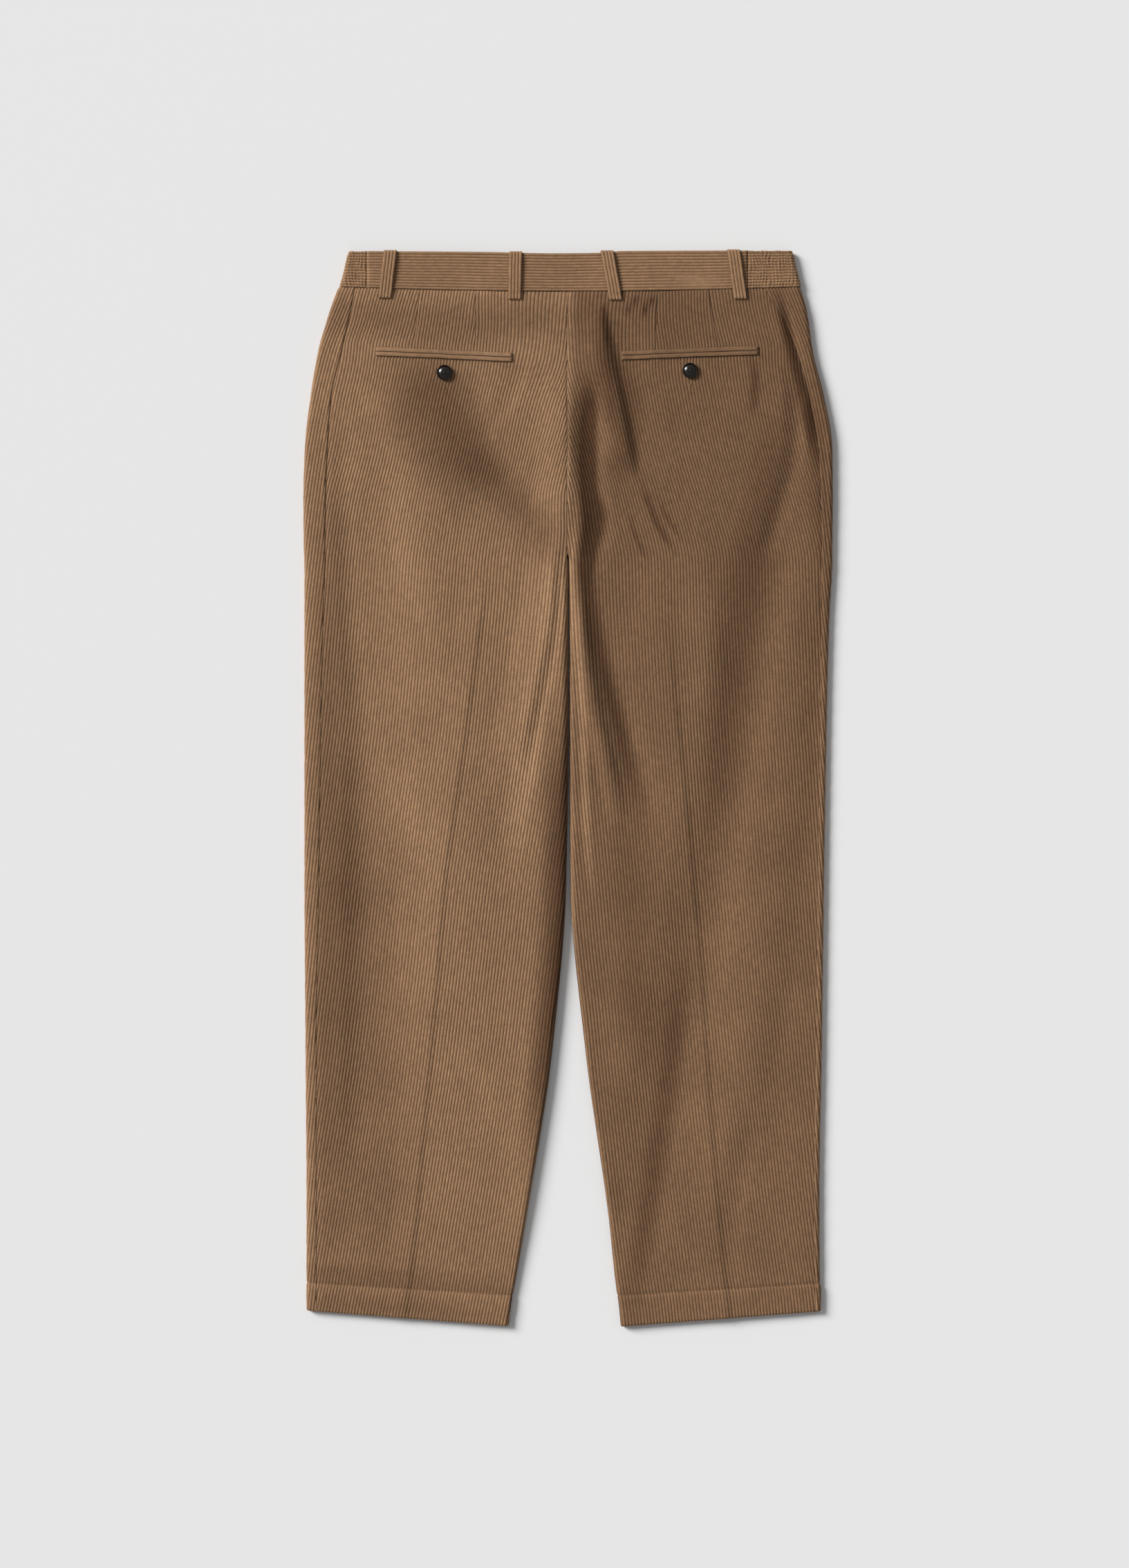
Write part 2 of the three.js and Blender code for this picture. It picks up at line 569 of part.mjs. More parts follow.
// Pocket welt: a folded strip along the mouth, made from the panel's height moved out
function welt(side, isUpper) {
  const pocket = POCKETS[side];
  const sign = CUT[side].sign;
  const count = 12;
  const low = isUpper ? 0.2 : -WELT_DEPTH - 0.2;
  const profile = [[0, 0.5], [0.2, 1], [0.8, 1], [1, 0.5]];
  const lift = WALE_RISE + REST_GAP;
  const rows = Array.from({ length: count + 1 }, (_, k) => {
    const along = (k / count - 0.5) * WELT_LENGTH;
    const out = pocket.out + along;
    const place = (share, rise) => {
      const y = pocket.y + pocket.slope * along + low + share * WELT_DEPTH;
      return [out * sign, y, clothHeight(side, out, pocket.y + pocket.slope * along) + lift + rise];
    };
    const outerRow = profile.map(([share, rise]) => ({ t: share, at: place(share, rise * WELT_RISE) }));
    const innerRow = [0, 1].map((share) => ({ t: share, at: place(share, 0) }));
    return { outerRow, innerRow };
  });
  return wall(rows.map((row) => row.outerRow), rows.map((row) => row.innerRow));
}

// manifold solid from a three.js geometry, and back
function toManifold(geometry) {
  const bare = geometry.clone();
  bare.deleteAttribute('normal');
  bare.deleteAttribute('uv');
  const merged = mergeVertices(bare, 1e-4);
  return new wasm.Manifold(new wasm.Mesh({
    numProp: 3,
    vertProperties: new Float32Array(merged.attributes.position.array),
    triVerts: new Uint32Array(merged.index.array),
  }));
}

function toGeometry(solid) {
  const mesh = solid.getMesh();
  const geometry = new THREE.BufferGeometry();
  geometry.setAttribute('position', new THREE.BufferAttribute(mesh.vertProperties, 3));
  geometry.setIndex(new THREE.BufferAttribute(mesh.triVerts, 1));
  return geometry;
}

// Button: a raised rim round a dished middle with four thread holes
function button(side) {
  const radius = BUTTON_DIAMETER / 2;
  const profile = [
    [0, 0], [0.78, 0], [0.97, 0.3], [1, 0.6], [0.93, 0.93], [0.82, 1], [0.7, 0.9], [0.55, 0.66], [0, 0.6],
  ].map(([r, z]) => new THREE.Vector2(r * radius, z * BUTTON_RISE));
  const turned = new THREE.LatheGeometry(profile, 16).rotateX(Math.PI / 2);
  let solid = toManifold(turned);
  const holeRadius = 0.95;
  const holeOff = 1.55;
  const holeSides = 6;
  for (const [dx, dy] of [[-1, -1], [-1, 1], [1, -1], [1, 1]]) {
    const drill = new THREE.CylinderGeometry(holeRadius, holeRadius, BUTTON_RISE * 3, holeSides)
      .rotateX(Math.PI / 2).translate(dx * holeOff, dy * holeOff, 0);
    solid = solid.subtract(toManifold(drill));
  }
  const spot = POCKETS[side].button;
  const x = spot.out * CUT[side].sign;
  return toGeometry(solid).translate(x, spot.y, restHeight(x, spot.y, radius));
}

function placket() {
  const top = waistSeam(0) - 4;
  return new THREE.BoxGeometry(PLACKET.width, PLACKET.length, PLACKET.wall)
    .translate(CENTRE_BACK, top - PLACKET.length / 2, WALL + SEAM_GAP + PLACKET.wall / 2);
}

// Materials
const cloth = (name, colour) => new THREE.MeshStandardMaterial({ name, color: colour, roughness: 0.92 });
const corduroy = () => cloth('corduroy', '#8f7055');
const bandCloth = () => cloth('corduroy_across', '#8a6d54');
const horn = () => new THREE.MeshStandardMaterial({ name: 'black_button', color: '#171311', roughness: 0.22 });

const group = new THREE.Group();
function add(name, geometry, material) {
  const mesh = new THREE.Mesh(geometry, material);
  mesh.name = name;
  group.add(mesh);
}

for (const side of ['left', 'right']) {
  add(`front_${side}`, frontPanel(side), corduroy());
  add(`back_${side}`, backPanel(side), corduroy());
  add(`elastic_${side}`, elastic(side), bandCloth());
  add(`waistband_front_${side}`, frontBand(side), bandCloth());
  add(`welt_upper_${side}`, welt(side, true), corduroy());
  add(`welt_lower_${side}`, welt(side, false), corduroy());
  add(`button_${side}`, button(side), horn());
}
add('waistband_back', backBand(), bandCloth());
add('fly_placket', placket(), corduroy());
LOOPS.forEach((loop, k) => add(`belt_loop_${k + 1}`, beltLoop(loop), corduroy()));

// The origin is under the middle of the garment's box, on the ground
const box = new THREE.Box3().setFromObject(group);
const middle = box.getCenter(new THREE.Vector3());
group.position.set(-middle.x, -middle.y, -box.min.z);

export default group;
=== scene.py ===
"""Corduroy trousers laid flat with the back up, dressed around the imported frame.

Sizes in the tables are millimetres in the drawing of the garment: x across with the wearer's right
positive, y up the garment, z up from the ground. "out" is a distance outward from its middle.
"""

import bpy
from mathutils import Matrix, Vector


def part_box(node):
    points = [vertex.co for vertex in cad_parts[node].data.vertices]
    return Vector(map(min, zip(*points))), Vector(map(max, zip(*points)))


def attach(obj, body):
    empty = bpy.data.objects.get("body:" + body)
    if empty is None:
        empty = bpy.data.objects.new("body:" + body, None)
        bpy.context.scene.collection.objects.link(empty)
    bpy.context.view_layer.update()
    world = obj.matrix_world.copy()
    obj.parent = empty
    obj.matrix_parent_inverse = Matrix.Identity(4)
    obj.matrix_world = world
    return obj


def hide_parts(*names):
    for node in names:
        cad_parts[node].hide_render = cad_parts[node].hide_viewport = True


bl_info = {
    "name": "Corduroy trousers",
    "version": (1, 0, 0),
    "blender": (4, 5, 0),
    "location": "3D View > Sidebar > Trousers",
    "description": "Makes corduroy trousers, laid flat with the back up, around their packed frame",
    "category": "Object",
}

from collections import namedtuple

import bmesh
import bpy
import numpy as np
from mathutils import Matrix, Vector

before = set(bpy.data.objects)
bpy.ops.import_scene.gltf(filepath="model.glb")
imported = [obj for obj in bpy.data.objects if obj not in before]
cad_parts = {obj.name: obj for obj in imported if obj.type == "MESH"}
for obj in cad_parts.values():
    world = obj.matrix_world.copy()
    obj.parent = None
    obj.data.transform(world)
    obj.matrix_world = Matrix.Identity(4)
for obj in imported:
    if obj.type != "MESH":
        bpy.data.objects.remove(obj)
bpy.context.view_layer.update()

MM = 0.001
SIGN = {"left": -1, "right": 1}
# Gap at a seam between two solids, and between two pieces of cloth sewn together
SEAM_GAP = 0.3
SEWN_GAP = 0.02
# Points nearer to each other than this are one point
SAME_PLACE = 0.02

# Sections from waist to hem: y at 150 mm off centre, the row's slope, the cloth's height halfway
# across and at the outer roll, then for each side the inner edge, the wale down the middle of the
# panel, the side seam and the outer edge
SECTION_COLUMNS = (
    "y", "slope", "top", "edge", "left_inner", "left_spine", "left_seam", "left_outer",
    "right_inner", "right_spine", "right_seam", "right_outer",
)
SECTION_ROWS = (
    (483, 0.02, 7.2, 7.0, 1.15, 72.5, 207, 223, -0.85, 83, 190, 225),
    (457, 0.02, 7.7, 7.1, 1.15, 72.5, 212, 232.5, -0.85, 80, 207, 232),
    (420, 0.04, 8.1, 7.2, 1.15, 75, 220, 242.5, -0.85, 80, 222, 237),
    (378, 0.01, 8.3, 7.2, 1.15, 83.5, 230, 250, -0.85, 85.5, 234, 248),
    (330, 0, 8.2, 7.2, 1.15, 93, 233.5, 255.5, -0.85, 95.5, 242.5, 256),
    (279, 0, 7.8, 7.0, 1.15, 105.5, 235.5, 257, -0.85, 110.5, 245, 256.5),
    (228, 0, 7.3, 6.7, 1.15, 114, 236, 256.5, -0.85, 124, 246, 256),
    (220, 0, 7.2, 6.6, 0.9, 115, 236, 256, 0.2, 125, 245.5, 256),
    (160, 0, 6.9, 6.4, 0.6, 120, 238, 256, 1.4, 127, 245, 253),
    (55, 0, 6.6, 6.2, 0.5, 131, 240, 256, 1.5, 133, 244, 250.5),
    (-94, 0.01, 6.5, 6.2, 2.7, 153, 242, 256, 2.7, 145, 242, 248),
    (-250, 0.03, 6.4, 6.1, 16, 173, 244.5, 255, 17, 161, 240.5, 246),
    (-410, 0.05, 6.3, 6.0, 41, 199, 244.5, 254, 39.5, 180, 238.5, 243.5),
    (-486.5, 0.06, 6.1, 5.9, 54.5, 212, 244.5, 254, 48, 191, 239, 244),
    (-491, 0.065, 6.8, 6.5, 55.5, 213, 244.5, 254, 49, 192, 239.5, 245),
    (-515.5, 0.077, 6.7, 6.4, 58.5, 218, 244.5, 254, 51.5, 195, 240, 245),
)
SECTIONS = dict(zip(SECTION_COLUMNS, np.array(SECTION_ROWS, float)[::-1].T))
# The y of a sloping row is given at this distance outward
SLOPE_FROM = 150
WAIST_Y = 483
FORK_Y = 228
# The waist seam: y on the middle line, and how much higher it is at a distance outward. The panels'
# rows turn to follow it from the other y up
WAIST_SEAM = (481, 4.3, 222)
SEAM_TURN_Y = 457
HEM_STITCH_Y = -486.5
HEM_EDGE_Y = -515.5
# Share of the hem's thickness that the single cloth above it has
HEM_SINGLE = 0.62
# The legs part below this y, over this length
LEGS_PART = (240, 40)
# How much each leg swells towards its inseam: share of its height, and over what width. The swell
# dies away over a stretch above the hem
INNER_SWELL = {"left": (0.42, 34), "right": (0.1, 30)}
HEM_FLAT = 120
# Over what width the cloth sinks to its outer roll, and over what width the rolls hold off the folds
OUTER_SLOPE = 40
ROLL_HOLD = 14
# Unevenness of the lying cloth: height, size and seed of each wave
UNEVEN = ((0.16, 17, 3), (0.22, 46, 8))
# Distance from row to row of points down the panels, and share of the pile's height by which the
# grooves show on the pressed underside
BACK_ROWS = 9
FRONT_ROWS = 11
UNDER_GROOVES = 0.7
# Where the pieces start to number their wales, so that no two show the same nap
FIRST_WALE = {
    "back": 0, "front": 200, "band_back": 400, "band_front": 440, "elastic": 480, "loop": 600,
    "welt": 700, "placket": 800,
}

# What lies on a panel stands this far over the cloth between its wales
CLEAR_OF_WALES = 1.0

# How far cloth is drawn down beside each seam or edge, and over what width
WAIST_DIP = (0.7, 5)
HEM_EDGE_DIP = (1.1, 2.2)
HEM_STITCH_DIP = (0.45, 1.1)
SIDE_SEAM_DIP = (0.75, 4.5)
CENTRE_SEAM_DIP = (0.5, 1.5)
FRONT_SEAM_DIP = (0.9, 2.2)
BAND_END_DIP = (0.35, 2)
# How far the front panels stand up beside the side seam, and over what width
FRONT_SEAM_RISE = (0.5, 6)
# Share of the pile that the hem's stitches hold down, and over what width
STITCH_PRESS = (0.55, 1.3)

# How far the grain of the front panels has moved across, over y
FRONT_GRAIN = np.array([(-520, 145), (264, 56), (351, 42), (420, 25), (486, 0)], float).T

# Darts: distance outward at the waist and at the tip, y of the tip, and the grain's turn across it
Dart = namedtuple("Dart", "waist tip tip_y turn")
DARTS = {
    "left": (Dart(90, 90, 434, 0.14), Dart(144, 149, 429, 0.12)),
    "right": (Dart(87, 84, 427, 0.14), Dart(136, 145, 427, 0.12)),
}
# Valley along a dart's line and ridge inward of it: height, width and distance inward
DART_RELIEF = ((-0.35, 0.8, 0), (0.3, 0.9, 1.6))
DART_START = 10

# How far the wales beside the centre back seam stand outward of the cut's own line, over y: they
# lean away from the seam below the waist and run back to it above the fork
GRAIN_TURN = np.array([
    (-200, 0), (0, -2), (150, -4), (215, -4.5), (245, -3), (270, 1.5), (292, 4.5), (320, 4), (350, 1),
    (420, -6), (483, -11),
], float).T
GRAIN_TURN_REACH = 75

# Pressed creases down the back of each leg: y and distance outward. Below them, their rise, how far
# they reach to the left and right, and the length over which they start
CREASES = {
    "left": ((-512, 160), (-428, 151), (-314, 141), (-178, 129), (-92, 122), (65, 100.5), (140, 90),
             (216, 80)),
    "right": ((-512, 153), (-396, 141.5), (-282, 133), (-172, 126), (-111, 120.5), (25, 108), (91, 100.5),
              (162, 96)),
}
CREASE_RISE = 1.0
CREASE_REACH = (22, 6)
CREASE_START = 60

# Folds of the upper side: path from top to bottom in x and y, rise of the crest (a trough is
# negative), and how far the slope reaches to the viewer's left and right of the path
Fold = namedtuple("Fold", "name path rise left right")
FOLDS = (
    Fold("left centre ridge", ((-5, 430), (-5, 330), (-9, 250), (-16, 190), (-30, 120), (-44, 60),
                               (-58, -20)), 4.0, 32, 15),
    Fold("centre back valley", ((24, 415), (19, 342), (22, 290), (27, 253), (17, 205)), -3.2, 17, 20),
    Fold("right fork ridge", ((5, 218), (11, 155), (22, 85), (38, 15), (54, -50)), 2.8, 12, 12),
    Fold("right fork valley", ((16, 212), (27, 140), (46, 60), (66, -10), (88, -70)), -2.6, 15, 34),
    Fold("right seat fold", ((26, 472), (35, 420), (44, 376), (52, 336), (58, 294)), 4.2, 30, 13),
    Fold("right seat trough", ((44, 462), (56, 400), (68, 335), (76, 286)), -2.4, 12, 34),
    Fold("left outer trough", ((-214, 340), (-203, 200), (-197, 60), (-197, -120), (-198, -300),
                               (-196, -450)), -3.2, 26, 52),
    Fold("left leg crest", ((-142, 340), (-128, 220), (-112, 120), (-105, 20), (-112, -100), (-122, -220),
                            (-132, -340)), 2.2, 60, 60),
    Fold("left seat slope", ((-185, 400), (-168, 345), (-135, 290), (-100, 262)), 1.8, 30, 34),
    Fold("left seat drag", ((-100, 405), (-84, 340), (-60, 295), (-28, 260)), -2.2, 42, 20),
    Fold("left pocket edge", ((-41, 424), (-50, 388), (-74, 350), (-88, 326)), -0.8, 20, 8),
    Fold("right leg crest", ((92, 270), (92, 150), (96, 50), (88, -80), (70, -200), (60, -330)), 2.5, 40, 70),
    Fold("right leg trough", ((222, 345), (204, 253), (184, 179), (169, 105), (154, 16), (136, -88),
                              (121, -177), (95, -281), (72, -393), (60, -467)), -2.8, 44, 40),
    Fold("right outer swell", ((232, 250), (222, 150), (212, 40), (200, -80), (185, -200), (165, -330),
                               (150, -430)), 1.8, 40, 32),
    Fold("right side groove", ((205, 474), (222, 425), (236, 380), (245, 330)), -2.0, 8, 7),
    Fold("right hip trough", ((212, 425), (222, 372), (220, 325), (206, 270), (190, 215)), -2.6, 15, 11),
    Fold("under the right seat", ((-2, 303), (20, 299), (40, 302), (74, 304)), -1.2, 5, 5),
    Fold("beside the seam", ((2, 375), (14, 384), (26, 388)), 1.2, 4, 5),
    Fold("right ankle trough", ((183, -303), (164, -393), (150, -484)), -1.2, 20, 16),
)
# Share of its path over which a fold, and a patch of painted shade and light, dies away at both ends,
# and the number of straight steps that a path is walked in
FOLD_FADE = 0.22
NAP_AND_SHADE_FADE = 0.3
PATH_STEPS = 20

# Painted shade and light, partly for how the nap lies, darker (negative) or lighter: over the right
# leg's length from hem to waist, as painted shade for a leg turned from the light, and in patches with
# paths and reaches like the folds, darkening slopes and rolls turned from the light and lightening edges
# that catch it
RIGHT_LEG_NAP_AND_SHADE = np.array([(-515, -0.24), (-200, -0.28), (150, -0.31), (480, -0.36)]).T
NAP_AND_SHADE_PATCHES = (
    Fold("left waist", ((-290, 464), (-120, 452), (60, 458)), -0.22, 30, 28),
    Fold("left seat", ((-152, 442), (-132, 380), (-104, 332), (-58, 284)), -0.40, 66, 60),
    Fold("left seat end", ((-104, 330), (-64, 294), (-32, 258), (-8, 196)), -0.28, 36, 26),
    Fold("left of the centre", ((-80, 415), (-45, 405), (-14, 400)), -0.12, 18, 18),
    Fold("centre seam light", ((1, 350), (1, 280), (0, 205)), 0.28, 8, 9),
    Fold("left fork light", ((2, 300), (-6, 215), (-20, 130), (-36, 40), (-60, -110)), 0.38, 24, 15),
    Fold("left inner edge", ((-5, 130), (-6, 60), (-8, -20), (-10, -120), (-17, -220), (-26, -320),
                             (-42, -430)), -0.60, 26, 14),
    Fold("left inner roll", ((-1.5, 250), (-1.5, 60), (-3.5, -94), (-10, -180), (-20, -290)), -0.36, 8, 5),
    Fold("left outer edge", ((-240, 440), (-238, 100), (-238, -200), (-236, -400), (-230, -620)),
         -0.26, 14, 34),
    Fold("left outer knee", ((-218, 70), (-212, -60), (-212, -170)), -0.14, 26, 30),
    Fold("left outer calf", ((-204, 40), (-192, -300), (-180, -600)), -0.20, 54, 70),
    Fold("left hip light", ((-214, 420), (-213, 300), (-211, 180), (-202, 60)), 0.12, 12, 16),
    Fold("left thigh light", ((-172, 335), (-160, 230), (-130, 125)), 0.14, 20, 26),
    Fold("left knee light", ((-172, 30), (-134, -100)), 0.10, 24, 22),
    Fold("left calf light", ((-128, 20), (-104, -180), (-86, -420)), 0.05, 44, 44),
    Fold("left above the hem", ((-330, -466), (-150, -479), (20, -492)), -0.22, 15, 15),
    Fold("left hem", ((-330, -494), (-150, -506), (20, -518)), -0.16, 16, 14),
    Fold("beside the seam", ((20, 450), (19, 380), (17, 300), (27, 262), (17, 212), (29, 134), (50, 53),
                             (69, -14), (92, -80)), -0.36, 12, 15),
    Fold("fork core", ((25, 410), (20, 335), (20, 292), (21, 258), (12, 180)), -0.50, 13, 10),
    Fold("left of the seat fold", ((34, 480), (38, 400), (48, 330)), -0.22, 16, 8),
    Fold("fork hollow", ((22, 290), (32, 262), (20, 228)), -0.12, 12, 12),
    Fold("right inseam light", ((2, 268), (4, 215), (9, 130), (14, 50), (18, -50), (28, -140)), 0.42, 7, 7),
    Fold("crease under the right seat", ((-14, 301), (14, 298), (46, 300), (90, 303)), -0.34, 2.5, 2.5),
    Fold("top of the seat fold", ((33, 470), (37, 428)), -0.42, 3, 6),
    Fold("waist wrinkle", ((86, 479), (66, 454)), -0.34, 3, 5),
    Fold("second waist wrinkle", ((70, 479), (54, 460)), -0.28, 3, 5),
    Fold("right crest", ((112, 275), (125, 150), (128, 50), (116, -50), (110, -100)), 0.12, 26, 24),
    Fold("right seat wrinkle", ((56, 270), (64, 245), (78, 215)), -0.20, 3, 6),
    Fold("right seat second wrinkle", ((68, 300), (84, 258), (106, 222)), -0.26, 4, 8),
    Fold("right seat third wrinkle", ((84, 285), (98, 256), (114, 236)), -0.18, 3, 6),
    Fold("right thigh streak", ((226, 400), (190, 270), (173, 180), (156, 90), (134, -90)), -0.16, 30, 38),
    Fold("right side line", ((198, 500), (215, 430), (228, 380), (243, 300)), -0.38, 9, 8),
    Fold("right outer edge", ((236, 420), (242, 300), (244, 200)), -0.12, 14, 12),
    Fold("right edge light", ((254, 240), (248, -100), (244, -560)), 0.26, 12, 8),
    Fold("right of the pocket", ((174, 424), (181, 395), (178, 355)), -0.22, 8, 8),
    Fold("right seat shade", ((40, 440), (58, 360), (44, 290)), -0.16, 18, 22),
    Fold("right knee", ((60, 0), (62, -140), (58, -270)), -0.14, 26, 30),
    Fold("right calf light", ((165, -60), (150, -250), (132, -420)), 0.06, 30, 50),
    Fold("right calf trough", ((120, -120), (98, -280), (78, -400), (52, -560)), -0.22, 18, 18),
)
# Where patches lie on each other, the painted shade gets no darker than this
DARKEST_NAP_AND_SHADE = -0.7

# Waistband: its top edge over x, its outer edge at the top and at the seam, and where the shirred side
# section starts. Then the height of its upper side, how many wales it has, its thickness, how high the
# wales rise, and how far inside its outer edge the cloth between the wales lies
BAND_EDGE = np.array([(-214, 520.3), (-80, 519.3), (-15, 518), (28, 518.5), (54, 520.3), (218, 520.9)]).T
BAND_OUTER = {"left": (213.5, 222.5), "right": (217.5, 226.5)}
ELASTIC_START = {"left": 195.5, "right": 174}
BAND_TOP = 7.7
BAND_WALES = 13
BAND_WALL = 2.3
BAND_RELIEF = 0.62
BAND_INSET = 0.65
# How far the shirred sections reach on the ground, and the distance from pucker to pucker
ELASTIC_FLOOR_REACH = 22
PUCKER_PITCH = 3.2
# A patch of the band whose pile is worn: its middle, and half its width and height
WORN_SPOT = (124, 491)
WORN_SIZE = (21, 6)

# Belt loops: x at the band's top edge and at the lower end, and the length that shows
Loop = namedtuple("Loop", "name top foot drop")
LOOPS = (
    Loop("belt_loop_1", -172.5, -178, 45.5),
    Loop("belt_loop_2", -51, -52, 45.5),
    Loop("belt_loop_3", 37.5, 46, 47),
    Loop("belt_loop_4", 160, 167, 47),
)
LOOP_WALES = 4
# Thickness of a loop's cloth, how high its upper side stands over what it lies on, and how far it
# stands past the band's top edge
LOOP_WALL = 0.9
LOOP_LIFT = 1.1
LOOP_BEHIND = 0.5

# Back pockets: the mouth's middle and slope, and the button. Then half the gap between the welts, the
# thickness of their cloth, and how far they stand over the panel's pile
Pocket = namedtuple("Pocket", "out y slope button_out button_y")
POCKETS = {
    "left": Pocket(120.5, 419.8, 0.045, 120, 402),
    "right": Pocket(118, 421.2, 0.036, 118, 404),
}
WELT_HALF_GAP = 0.15
WELT_WALL = 0.5
WELT_LIFT = 0.4

# The drawing's origin in the frame: the placket hangs at a known place in both
PLACKET_TOP = 477
PLACKET_SIZE = (38, 170)
PLACKET_LOW, PLACKET_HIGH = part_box("fly_placket")
SHIFT = np.array([
    (PLACKET_LOW.x + PLACKET_HIGH.x) / 2 / MM + 1,
    (PLACKET_LOW.y + PLACKET_HIGH.y) / 2 / MM - PLACKET_TOP + PLACKET_SIZE[1] / 2,
    0.0,
])
# Buttons: how far out and how wide the four holes are
BUTTON_LOW, BUTTON_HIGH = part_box("button_left")
HOLE_OUT = 2.0
HOLE_SIZE = 1.9

# Stitches: the share of a stitch's length that shows, and the thread's radius. Bartacks: how wide they
# are, the radius of a strand, and the distance from strand to strand
STITCH_SHARE = 0.8
STITCH_RADIUS = 0.24
TACK_WIDTH = 1.7
TACK_RADIUS = 0.26
TACK_PITCH = 0.42

# Real lengths in the looks: a patch of nap on one wale, a tuft of the pile along the wale, the
# mottling of the dye, diagonals of the twill, streaks of the resin and turns of the thread's plies
NAP_PATCH = 7
TUFT = 0.9
TUFTS_ACROSS = 3
MOTTLING = 60
TWILL = 2.375
STREAK = 4
PLY_TURN = 0.99
# A wave texture at scale 1 repeats after this length
WAVE_LENGTH = np.pi / 10

# Where the camera stands in the drawing, its lens, and the direction and width of the key light
CAMERA_PLACE = (-3.7, 3.35)
CAMERA_LENS = 85
KEY_TOWARDS = (0.70, -0.42, -0.47)
KEY_WIDTH = np.radians(26)


def length_property(name, description, default):
    """A size that a user may change, stated in millimetres here and kept in metres."""
    return bpy.props.FloatProperty(
        name=name, description=description, default=default * MM, min=0.0, unit="LENGTH", precision=5
    )


def linear(code):
    """Linear colour of an sRGB hex code."""
    parts = np.array([int(code[k:k + 2], 16) for k in (1, 3, 5)]) / 255
    return tuple(np.where(parts <= 0.04045, parts / 12.92, ((parts + 0.055) / 1.055) ** 2.4)) + (1.0,)


def colour_property(name, description, code):
    """A colour that a user may change."""
    return bpy.props.FloatVectorProperty(
        name=name, description=description, default=linear(code), size=4, subtype="COLOR", min=0, max=1
    )


class TrousersCloth(bpy.types.PropertyGroup):
    """Sizes and colours of the corduroy."""

    wall: length_property("Cloth thickness", "Thickness of the ground cloth", 1.3)
    pitch: length_property("Wale pitch", "Distance from one wale to the next", 3.05)
    rise: length_property("Wale rise", "Height of the pile above the ground cloth", 0.6)
    folds: bpy.props.FloatProperty(
        name="Fold depth", description="Share of the folds' full depth", default=1.0, min=0.0, max=1.5
    )
    tip: colour_property("Pile colour", "Colour of the tops of the wales", "#987658")
    # The groove colour is darker than the pile's partly as painted shade down in the grooves, partly for the
    # ground weave there
    groove: colour_property("Groove colour", "Colour of the ground between the wales", "#6b4d34")


class TrousersTrims(bpy.types.PropertyGroup):
    """Sizes and colours of the loops, welts, buttons and thread."""

    loop_width: length_property("Loop width", "Width of a belt loop", 12.5)
    welt_length: length_property("Welt length", "Length of a pocket mouth", 132)
    welt_depth: length_property("Welt depth", "Width of one welt", 4)
    button: bpy.props.FloatProperty(
        name="Button diameter", description="Diameter of the pocket buttons",
        default=BUTTON_HIGH.x - BUTTON_LOW.x, min=0.0, unit="LENGTH", precision=4,
    )
    stitch: length_property("Stitch length", "Length of a stitch of the hem", 3.2)
    resin: colour_property("Button colour", "Colour of the buttons", "#15110f")
    thread: colour_property("Thread colour", "Colour of the sewing thread", "#806246")


class TrousersStage(bpy.types.PropertyGroup):
    """Ground, light and camera."""

    ground: colour_property("Ground colour", "Colour of the pale ground", "#e9e9e9")
    sky: bpy.props.FloatProperty(name="Fill light", description="Strength of the even light", default=0.29)
    sun: bpy.props.FloatProperty(
        name="Key light", description="Strength of the light from the left", default=4.27
    )
    height: bpy.props.FloatProperty(
        name="Camera height", description="Height of the camera over the ground", default=3.597, unit="LENGTH"
    )


def ease(value):
    """Soft step from 0 to 1."""
    t = np.clip(value, 0, 1)
    return t * t * (3 - 2 * t)


def smooth_read(xs, ys, at):
    """Smooth reading of a table of rising xs, with no swing past its values."""
    xs, ys = np.asarray(xs, float), np.asarray(ys, float)
    widths = np.diff(xs)
    rates = np.diff(ys) / widths
    slopes = np.zeros_like(ys)
    slopes[0], slopes[-1] = rates[0], rates[-1]
    product = rates[:-1] * rates[1:]
    total = np.where(product > 0, rates[:-1] + rates[1:], 1)
    slopes[1:-1] = np.where(product > 0, 2 * product / total, 0)
    at = np.clip(at, xs[0], xs[-1])
    k = np.clip(np.searchsorted(xs, at) - 1, 0, len(widths) - 1)
    width = widths[k]
    t = (at - xs[k]) / width
    start = ys[k] + t * t * (3 - 2 * t) * (ys[k + 1] - ys[k])
    return start + width * t * (1 - t) * ((1 - t) * slopes[k] - t * slopes[k + 1])


def wobble(u, v, size, seed):
    """A soft uneven wave of about one unit, the same each run."""
    first = np.sin(2.1 * u / size + 1.7 * seed + 1.3 * np.sin(1.3 * v / size + seed))
    second = np.sin(1.7 * v / size - 2.3 * seed + 1.1 * np.sin(0.9 * u / size - seed))
    return (first + second) / 2


def section(name, y):
    """Value of a section column at y."""
    return smooth_read(SECTIONS["y"], SECTIONS[name], y)


def cut(side, name, y):
    """Distance outward of a line of one side's cut at y."""
    return section(f"{side}_{name}", y)


def waist_seam(x):
    """y of the seam between the panels and the waistband."""
    middle, rise, reach = WAIST_SEAM
    return middle + rise * (x / reach) ** 2


def smooth_path(points, count):
    """Evenly spaced points along a smooth line through the given ones."""
    points = np.array(points, float)
    lengths = np.concatenate([[0], np.cumsum(np.hypot(*np.diff(points, axis=0).T[:2]))])
    at = np.linspace(0, lengths[-1], count)
    return np.stack([smooth_read(lengths, column, at) for column in points.T], axis=1)


